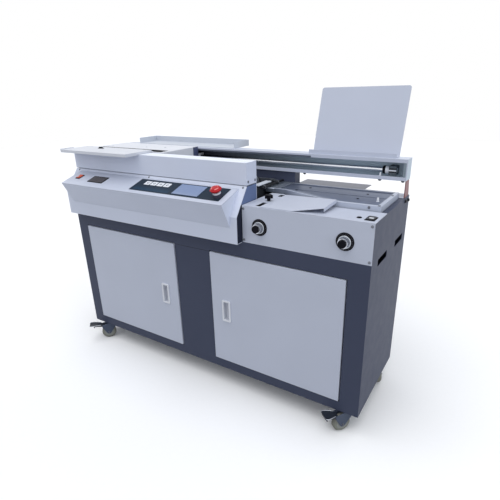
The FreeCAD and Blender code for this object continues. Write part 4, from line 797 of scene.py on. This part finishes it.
def hex_head(graph, given):
    """A six-sided head on a washer, with the turned end of the bolt above it."""
    radius, height = given["Head radius"], given["Head height"]
    washer = drum(graph, 32, radius * 1.3, height * 0.2)
    head = raised(graph, drum(graph, 6, radius, height * 0.7), height * 0.2)
    end = raised(graph, drum(graph, 24, radius * 0.55, height * 0.25), height * 0.9)
    return joined(graph, washer, head, end)


def key_cap(graph, given):
    """A low pad with rounded corners and a shallow round touch mark."""
    side, height = given["Key depth"], given["Key height"]
    outline = graph.node("GeometryNodeCurvePrimitiveQuadrilateral", {},
                         {"Width": given["Key width"], "Height": side})
    eased = graph.node("GeometryNodeFilletCurve", {"mode": "POLY"},
                       {"Curve": outline, "Radius": given["Corner radius"], "Count": 5})
    face = graph.node("GeometryNodeFillCurve", {"mode": "NGONS"}, {"Curve": eased})
    top = graph.node("GeometryNodeExtrudeMesh", {"mode": "FACES"},
                     {"Mesh": face, "Offset Scale": height})
    under = graph.node("GeometryNodeFlipFaces", {}, {"Mesh": face})
    mark = raised(graph, drum(graph, 24, side * 0.2, height * 0.4), height)
    return joined(graph, top, under, mark)


# Console

KEY_COUNT, KEY_FIRST, KEY_PITCH, KEY_DROP = 4, 51, 31.6, 25
KEY_SIZES = {"Key width": 27, "Key depth": 24, "Key height": 0.9, "Corner radius": 2}
PLATE_FROM_LEFT, PLATE_DROP, PLATE_SINK = 165.5, 43, 1.2
PLATE_EDGE = (87, 46, 3), ((0, 0), (0, 0.9), (0.4, 1.2))
PLATE_FIELD = (77, 37, 2), ((0, 1.1), (0, 1.4), (0.2, 1.6))


def slope():
    """The console's sloping face: its top edge, the way down it and the way out of it."""
    out = -Vector(JOINTS["estop_push"]["axis"]).normalized()
    down = X.cross(out)
    _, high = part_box("control_panel")
    return Vector((0, high.y, high.z)), (down if down.z < 0 else -down), out


def on_slope(x, drop, rise=0.0):
    """The place at x on the sloping face, some millimetres below its top edge and above its surface."""
    top, down, out = slope()
    return top + X * x + (down * drop + out * rise) * MM


def key_spots():
    panel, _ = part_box("control_panel")
    return [on_slope(panel.x + (KEY_FIRST + KEY_PITCH * key) * MM, KEY_DROP) for key in range(KEY_COUNT)]


def add_console(finishes):
    _, down, out = slope()
    repeated("membrane_keys", [(spot, out) for spot in key_spots()], KEY_SIZES, key_cap, finishes["key"],
             "machine")
    case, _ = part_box("console_case")
    centre = on_slope(case.x + PLATE_FROM_LEFT * MM, PLATE_DROP, -PLATE_SINK)
    lofted("dark_plate", "machine", "black_plastic",
           (rounded_slab(centre, X, -down, *PLATE_EDGE), finishes["black"]),
           (rounded_slab(centre, X, -down, *PLATE_FIELD), finishes["brown"]))


# Cover station

PLUG_SHIFT = (-57, 36, 0)
PLUG = ((7.5, 0), (7.5, 1), (6.2, 2), (3.5, 2.7), (0.4, 2.9))
PEG_SHIFT = (-27, -42, 0)
PEG = ((5, 0), (5, 1.2), (3.2, 1.8), (3.2, 11), (2.4, 12.4), (0.5, 12.9))
NIP_SCREW = {"Head radius": 4.2, "Head height": 1.4, "Recess width": 1}
NIP_SCREW_SHIFTS = {"nip_front_plate": ((71, 93), (303, 67)), "nip_rear_plate": ((101, 42), (313, 35))}
LEDGE_SHIFT = (-17.5, 144.5, -14)
LEDGE = (35, 131, 2), ((1, 0), (0, 1), (0, 13.4), (0.6, 14))
LEDGE_PAD = (25, 112, 3), ((0, 13.9), (0, 14.6), (0.4, 14.9))
COVER_WIDTH, COVER_CORNER, COVER_GAP = 60, 2, 0.6
COVER = ((0, 0), (0, 1.2), (0.4, 1.6))
KNOB_CAP = ((12.5, -5.4), (12.5, 0.2), (11.8, 0.9), (6, 1.3), (0.4, 1.4))
KNOB_SKIRT = ((19.6, 0.4), (19.6, 2), (18.9, 2.6), (18.2, 2.6), (18, 1.6), (17.2, 1.6), (16, 3.4))


def add_table_details(finishes):
    table, table_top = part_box("station_top")
    plug = beside((table_top.x, table.y, table_top.z), *PLUG_SHIFT)
    lofted("table_plug", "machine", "black_plastic", (turned(plug, Z, PLUG), finishes["black"]))


def add_nip_details(finishes):
    _, plate_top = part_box("nip_front_plate")
    lofted("nip_peg", "nip_front_plate", "white_plastic",
           (turned(beside(plate_top, *PEG_SHIFT), Z, PEG, 28), finishes["white"]))
    for node, shifts in NIP_SCREW_SHIFTS.items():
        low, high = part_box(node)
        spots = [(beside((low.x, low.y, high.z), x, y, 0), Z) for x, y in shifts]
        repeated(f"{node}_screws", spots, NIP_SCREW, screw_head, finishes["black"], node)
    stand, stand_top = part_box("nip_frame")
    ledge = beside((stand.x, stand.y, stand_top.z), *LEDGE_SHIFT)
    lofted("nip_ledge", "machine", "zinc", (rounded_slab(ledge, X, Y, *LEDGE), finishes["frame steel"]),
           (rounded_slab(ledge, X, Y, *LEDGE_PAD), finishes["frame steel"]))


def add_corner_cover(finishes):
    """A plate that closes the gap between the nip frame and the rear panel, beside the support post."""
    _, stand_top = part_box("nip_frame")
    _, back_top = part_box("rear_panel")
    post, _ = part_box("support_post")
    centre = beside((post.x, (stand_top.y + back_top.y) / 2, back_top.z), -COVER_WIDTH / 2, 0, 0)
    size = COVER_WIDTH, (back_top.y - stand_top.y) / MM - COVER_GAP, COVER_CORNER
    lofted("rear_corner_cover", "machine", "pale_paint",
           (rounded_slab(centre, X, Y, size, COVER), finishes["pale"]))


def add_knob_details(finishes):
    dial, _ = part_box("dial_rings")
    for side in SIDES:
        knob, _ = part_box(f"{side}_knob")
        x, _, z = JOINTS[f"{side}_knob_turn"]["pos_m"]
        lofted(f"{side}_knob_cap", f"{side}_knob", "black_plastic",
               (turned(Vector((x, knob.y, z)), -Y, KNOB_CAP), finishes["black"]))
        lofted(f"{side}_knob_skirt", f"{side}_knob", "knob_metal",
               (turned(Vector((x, dial.y, z)), -Y, KNOB_SKIRT, 56), finishes["zinc"]))


# Rail

BUFFER_FROM_END = 46
# Sleeves on the shaft, as (height above its surface, length) pairs
BUFFER = ((0, 0), (4, 0), (5.5, 1.2), (5.5, 3.4), (4.2, 4.4), (5.5, 5.4), (5.5, 7.8), (4, 9), (0, 9))
COLLAR = ((0, 9.2), (3.8, 9.2), (4.6, 9.8), (4.6, 21.2), (3.8, 21.8), (0, 21.8))
CLIP_SHIFT = (-87, 7, 2)
CLIP = (4.6, 8, 1.8), ((0.6, 0), (0, 0.6), (0, 18), (0.8, 20), (1.6, 21))
BEAM_BOLTS_FROM_RIGHT, BEAM_BOLT_BACK = (366, 88, 12), 9
POST_BOLT_SHIFTS = ((0, -55, -11), (0, -17, -14))
FRAME_BOLT = {"Head radius": 5.6, "Head height": 5.5}


def add_rail(finishes):
    beam, beam_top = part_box("rail_beam")
    shaft, shaft_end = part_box("guide_shaft")
    radius = (shaft_end.z - shaft.z) / 2 / MM
    middle = (shaft + shaft_end) / 2
    start = beside((shaft_end.x, middle.y, middle.z), -BUFFER_FROM_END, 0, 0)
    for name, sleeve, finish, slot in (("shaft_buffer", BUFFER, "black", "black_plastic"),
                                       ("shaft_collar", COLLAR, "white", "white_plastic")):
        profile = [(radius + height, length) for height, length in sleeve]
        lofted(name, "machine", slot, (turned(start, X, profile), finishes[finish]))
    lower_right = Vector((beam_top.x, beam.y, beam.z))
    lofted("rail_stop_clip", "machine", "white_plastic",
           (rounded_slab(beside(lower_right, *CLIP_SHIFT), X, Y, *CLIP), finishes["white"]))
    _, panel_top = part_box("right_side_panel")
    bolts = [(beside(lower_right, -inset, BEAM_BOLT_BACK, 0), -Z) for inset in BEAM_BOLTS_FROM_RIGHT]
    bolts += [(beside(panel_top, *shift), X) for shift in POST_BOLT_SHIFTS]
    repeated("frame_bolts", bolts, FRAME_BOLT, hex_head, finishes["black steel"], "machine")


# Glue tank

TANK_BAR_SHIFT = (4, 47, 0)
TANK_BAR = (24, 91, 2), ((0, 0), (0, 2.4), (0.6, 3))
GATE_ROD_SHIFT = (20, 18, -8)
GATE_ROD = ((3, 0), (4, 1), (4, 8), (5.5, 8.2), (5.5, 14), (4, 14.2), (4, 156), (3, 157))
ROD_FOOT_SHIFTS = ((-8, 18, 0), (-8, 118, 0))
ROD_FOOT = (26, 15, 4), ((0.5, 0), (0, 0.5), (0, 5.5), (0.5, 6))


def add_tank(finishes):
    tank, tank_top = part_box("glue_tank")
    corner = Vector((tank_top.x, tank.y, tank_top.z))
    lofted("tank_bar", "machine", "pale_paint",
           (rounded_slab(beside(corner, *TANK_BAR_SHIFT), X, Y, *TANK_BAR), finishes["tray"]))
    rod = beside(corner, *GATE_ROD_SHIFT)
    feet = [(rounded_slab(beside(rod, *shift), X, Z, *ROD_FOOT), finishes["dark cast"])
            for shift in ROD_FOOT_SHIFTS]
    lofted("tank_gate_rod", "machine", "cast_grey",
           (turned(rod, Y, GATE_ROD, 28), finishes["black steel"]), *feet)


# Carriage

JAW_SCREW = {"Head radius": 4, "Head height": 2, "Recess width": 1}
JAW_SCREW_SHIFTS = ((30, 29), (208, 56), (296, 76))
STRIP_INSET, STRIP_BACK, STRIP_RISE = 1, 97, 0.6
STRIP = (2, 70, 0.6), ((0.3, 0), (0, 0.3), (0, 6.6))
LATCH_SHIFT = (134, -48, 11)
LATCH_BASE = (28, 12, 3), ((0, 0), (0, 1.4), (0.6, 2))
LATCH_GRIP = (20, 7, 2.5), ((0.6, 1.8), (0, 2.4), (0.4, 4.6), (1.6, 5.8))


def add_carriage(finishes):
    jaw, jaw_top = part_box("clamp_jaw")
    spots = [(beside((jaw.x, jaw.y, jaw_top.z), x, y, 0), Z) for x, y in JAW_SCREW_SHIFTS]
    repeated("jaw_screws", spots, JAW_SCREW, screw_head, finishes["zinc"], "clamp_jaw")
    table, table_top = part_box("platform")
    _, hood_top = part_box("hood")
    strips = [(rounded_slab(beside((x, table.y, hood_top.z), inset, STRIP_BACK, STRIP_RISE), X, Y, *STRIP),
               finishes["platform"])
              for x, inset in ((table.x, STRIP_INSET), (table_top.x, -STRIP_INSET))]
    lofted("platform_end_strips", "carriage", "pale_paint", *strips)
    latch = beside((table.x, table_top.y, table.z), *LATCH_SHIFT)
    lofted("platform_latch", "carriage", "black_plastic",
           *((rounded_slab(latch, X, Y, *part), finishes["black"]) for part in (LATCH_BASE, LATCH_GRIP)))


# Casters

# Stations along a brake pedal: reach from its pin, rise above the pin, half width and side lip
TREAD_STATIONS = ((9, 6.2, 15, 2.5), (20, 7, 18, 3), (32, 7.9, 21, 3.4), (42, 8.6, 23, 3), (50, 9.6, 22, 2),
                  (54, 10.4, 18, 1))
# Corners of a station's section: share of the half width, share of the side lip and height
TREAD_SECTION = ((-1, 1, 0), (-0.6, 0, 0), (0.6, 0, 0), (1, 1, 0), (1, 1, 1.6), (0.6, 0, 1.6), (-0.6, 0, 1.6),
                 (-1, 1, 1.6))
TREAD_STRETCH = {"front_left": 1.12, "front_right": 0.84}
RIM_RADIUS, RIM_RISE, RIM_SIDES = 1.2, 1, 8
AXLE_HALF = 15
AXLE_NUT = {"Head radius": 3.4, "Head height": 4.4}
PLATE_SCREW = {"Head radius": 4.6, "Head height": 1.8, "Recess width": 0.8}
PLATE_SCREW_X, PLATE_SCREW_Y, PLATE_THICKNESS = 26, 20, 3


def add_pedal_tread(corner, stretch, finishes):
    """A pressed tread with raised sides and bright rolled rims on a brake pedal."""
    press = JOINTS[f"{corner}_pedal_press"]
    pin, across = Vector(press["pos_m"]), Vector(press["axis"])
    ahead = pin - Vector(JOINTS[f"{corner}_swivel"]["pos_m"])
    ahead.z = 0
    ahead.normalize()

    def at(reach, aside, above):
        return pin + (ahead * reach * stretch + across * aside + Z * above) * MM

    skins = [([[at(reach, half * aside, rise + lip * up + height) for aside, up, height in TREAD_SECTION]
               for reach, rise, half, lip in TREAD_STATIONS], finishes["pedal"])]
    circle = [(RIM_RADIUS * math.cos(turn), RIM_RISE + RIM_RADIUS * math.sin(turn))
              for turn in full_turn(RIM_SIDES)]
    for side in (-1, 1):
        skins.append(([[at(reach, side * half + out, rise + lip + up) for out, up in circle]
                       for reach, rise, half, lip in TREAD_STATIONS], finishes["zinc"]))
    lofted(f"{corner}_pedal_tread", f"{corner}_pedal", "black_plastic", *skins)


def add_casters(finishes):
    for corner, stretch in TREAD_STRETCH.items():
        add_pedal_tread(corner, stretch, finishes)
    _, plates_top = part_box("caster_plates")
    spots = []
    for corner in CORNERS:
        spin = JOINTS[f"{corner}_wheel_spin"]
        axle, along = Vector(spin["pos_m"]), Vector(spin["axis"])
        ends = [(axle + along * reach, along * reach) for reach in mm(-AXLE_HALF, AXLE_HALF)]
        repeated(f"{corner}_axle_nuts", ends, AXLE_NUT, hex_head, finishes["dark screw"],
                 f"{corner}_fork")
        x, y, _ = JOINTS[f"{corner}_swivel"]["pos_m"]
        spots += [(beside((x, y, plates_top.z), aside, back, -PLATE_THICKNESS), -Z)
                  for aside in (-PLATE_SCREW_X, PLATE_SCREW_X) for back in (-PLATE_SCREW_Y, PLATE_SCREW_Y)]
    repeated("caster_plate_screws", spots, PLATE_SCREW, screw_head, finishes["zinc"], "machine")


# Screws in the sheet metal

SHEET_SCREW = {"Head radius": 4.2, "Head height": 2.2, "Recess width": 1.1}
PANEL_SCREW_LEFT, PANEL_SCREW_RIGHT, PANEL_SCREW_DROP, PANEL_SCREW_RISE = 6, 7, 8, 9
HOOD_SCREW_INSET, HOOD_SCREW_RISE = 10, 192
SHROUD_FACING = Vector((0, -0.803, 0.596))
SHROUD_SCREW_FORWARD, SHROUD_SCREW_DROP = 4.3, 5.8
SHROUD_SCREWS_FROM_LEFT, SHROUD_SCREW_FROM_RIGHT = (22, 429), 12
NIP_RIGHT_SCREW_SHIFTS = ((-7, 6, 0), (-7, 153, 0))
NIP_FRONT_SCREW_SHIFT, NIP_LEFT_SCREW_SHIFT = (-36, 0, -6), (8, 91, 0)
REAR_SCREW_RISES = (14, 520)
REAR_SCREW_COUNT, REAR_SCREW_FIRST, REAR_SCREW_PITCH = 5, 14, 318


def station_screws():
    low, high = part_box("station_panel")
    return [(beside((x, low.y, z), inset, 0, rise), -Y)
            for x, inset in ((low.x, PANEL_SCREW_LEFT), (high.x, -PANEL_SCREW_RIGHT))
            for z, rise in ((high.z, -PANEL_SCREW_DROP), (low.z, PANEL_SCREW_RISE))]


def hood_screws():
    low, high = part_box("hood")
    return [(beside((high.x, y, low.z), 0, inset, HOOD_SCREW_RISE), X)
            for y, inset in ((low.y, HOOD_SCREW_INSET), (high.y, -HOOD_SCREW_INSET))]


def shroud_screws():
    low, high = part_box("console_shroud")
    places = [low.x + inset * MM for inset in SHROUD_SCREWS_FROM_LEFT]
    places.append(high.x - SHROUD_SCREW_FROM_RIGHT * MM)
    return [(beside((x, high.y, high.z), 0, -SHROUD_SCREW_FORWARD, -SHROUD_SCREW_DROP), SHROUD_FACING)
            for x in places]


def nip_frame_screws():
    low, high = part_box("nip_frame")
    right, left = Vector((high.x, low.y, high.z)), Vector((low.x, low.y, high.z))
    return [*((beside(right, *shift), Z) for shift in NIP_RIGHT_SCREW_SHIFTS),
            (beside(right, *NIP_FRONT_SCREW_SHIFT), -Y), (beside(left, *NIP_LEFT_SCREW_SHIFT), Z)]


def rear_screws():
    low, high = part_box("rear_panel")
    return [(beside((low.x, high.y, low.z), REAR_SCREW_FIRST + place * REAR_SCREW_PITCH, 0, rise), Y)
            for rise in REAR_SCREW_RISES for place in range(REAR_SCREW_COUNT)]


def add_sheet_screws(finishes):
    spots = station_screws() + hood_screws() + shroud_screws() + nip_frame_screws() + rear_screws()
    repeated("sheet_screws", spots, SHEET_SCREW, screw_head, finishes["dark screw"], "machine")


# Floor, light and background

FLOOR_HALF = 9
FLOOR_LOW, FLOOR_HIGH = (0.93, 0.93, 0.94), (0.96, 0.96, 0.97)
FLOOR_BOUNCE = shade((0.93, 0.95, 1.0), 0.30)
WHITE, COOL, SKY = (1, 1, 1), (0.92, 0.96, 1.0), (0.90, 0.94, 1.0)
SKY_STRENGTH = 0.53
# Name, strength, direction of the light, width of its disc in degrees and tone
LAMPS = (("overhead", 1.52, (0.12, 0.22, -1), 60, WHITE),
         ("rear_fill", 0.35, (-0.3, -1, -0.5), 70, WHITE),
         ("front_fill", 0.40, (0.1, 1, -0.2), 70, WHITE),
         ("right_fill", 0.85, (-1, 0.35, -0.45), 60, COOL))


def in_view(graph):
    """1 where the background is looked at, directly or in a shiny or clear piece."""
    ray = graph.node("ShaderNodeLightPath").outputs()
    looked_at = graph.math("MAXIMUM", ray["Is Camera Ray"], ray["Is Glossy Ray"])
    return graph.math("MAXIMUM", looked_at, ray["Is Transmission Ray"])


def add_stage():
    """A pale floor that gives the machine less light than it shows."""
    sheet = bpy.data.meshes.new("floor")
    corners = [(x * FLOOR_HALF, y * FLOOR_HALF, 0) for x, y in ((-1, -1), (1, -1), (1, 1), (-1, 1))]
    sheet.from_pydata(corners, [], [(0, 1, 2, 3)])
    floor = bpy.data.objects.new("floor", sheet)
    bpy.context.scene.collection.objects.link(floor)
    paper = Finish("pale floor")
    tone = paper.blend(paper.noise(60, 4), FLOOR_LOW, FLOOR_HIGH)
    seen = paper.node("ShaderNodeBsdfPrincipled", {}, {"Base Color": tone, "Roughness": 0.9})
    dim = paper.node("ShaderNodeBsdfDiffuse", {}, {"Color": (*FLOOR_BOUNCE, 1)})
    mixed = paper.node("ShaderNodeMixShader", {}, {0: in_view(paper), 1: dim, 2: seen})
    paper.node("ShaderNodeOutputMaterial", {}, {"Surface": mixed})
    sheet.materials.append(paper.material)


def add_light():
    world = bpy.data.worlds.new("studio")
    bpy.context.scene.world = world
    world.use_nodes = True
    world.node_tree.nodes.clear()
    sky = Graph(world.node_tree)
    white = sky.node("ShaderNodeBackground", {}, {"Color": (*WHITE, 1), "Strength": 1.0})
    fill = sky.node("ShaderNodeBackground", {}, {"Color": (*SKY, 1), "Strength": SKY_STRENGTH})
    mixed = sky.node("ShaderNodeMixShader", {}, {0: in_view(sky), 1: fill, 2: white})
    sky.node("ShaderNodeOutputWorld", {}, {"Surface": mixed})
    for name, strength, direction, width, tone in LAMPS:
        lamp = bpy.data.lights.new(name, "SUN")
        lamp.energy, lamp.angle, lamp.color = strength, math.radians(width), tone
        held = bpy.data.objects.new(name, lamp)
        held.rotation_euler = Vector(direction).to_track_quat("-Z", "Y").to_euler()
        bpy.context.scene.collection.objects.link(held)
    bpy.context.scene.view_settings.view_transform = "Standard"


def build():
    add_camera()
    finishes = make_finishes()
    paint_nodes(finishes)
    add_console(finishes)
    add_table_details(finishes)
    add_nip_details(finishes)
    add_corner_cover(finishes)
    add_knob_details(finishes)
    add_rail(finishes)
    add_tank(finishes)
    add_carriage(finishes)
    add_casters(finishes)
    add_sheet_screws(finishes)
    add_stage()
    add_light()


build()
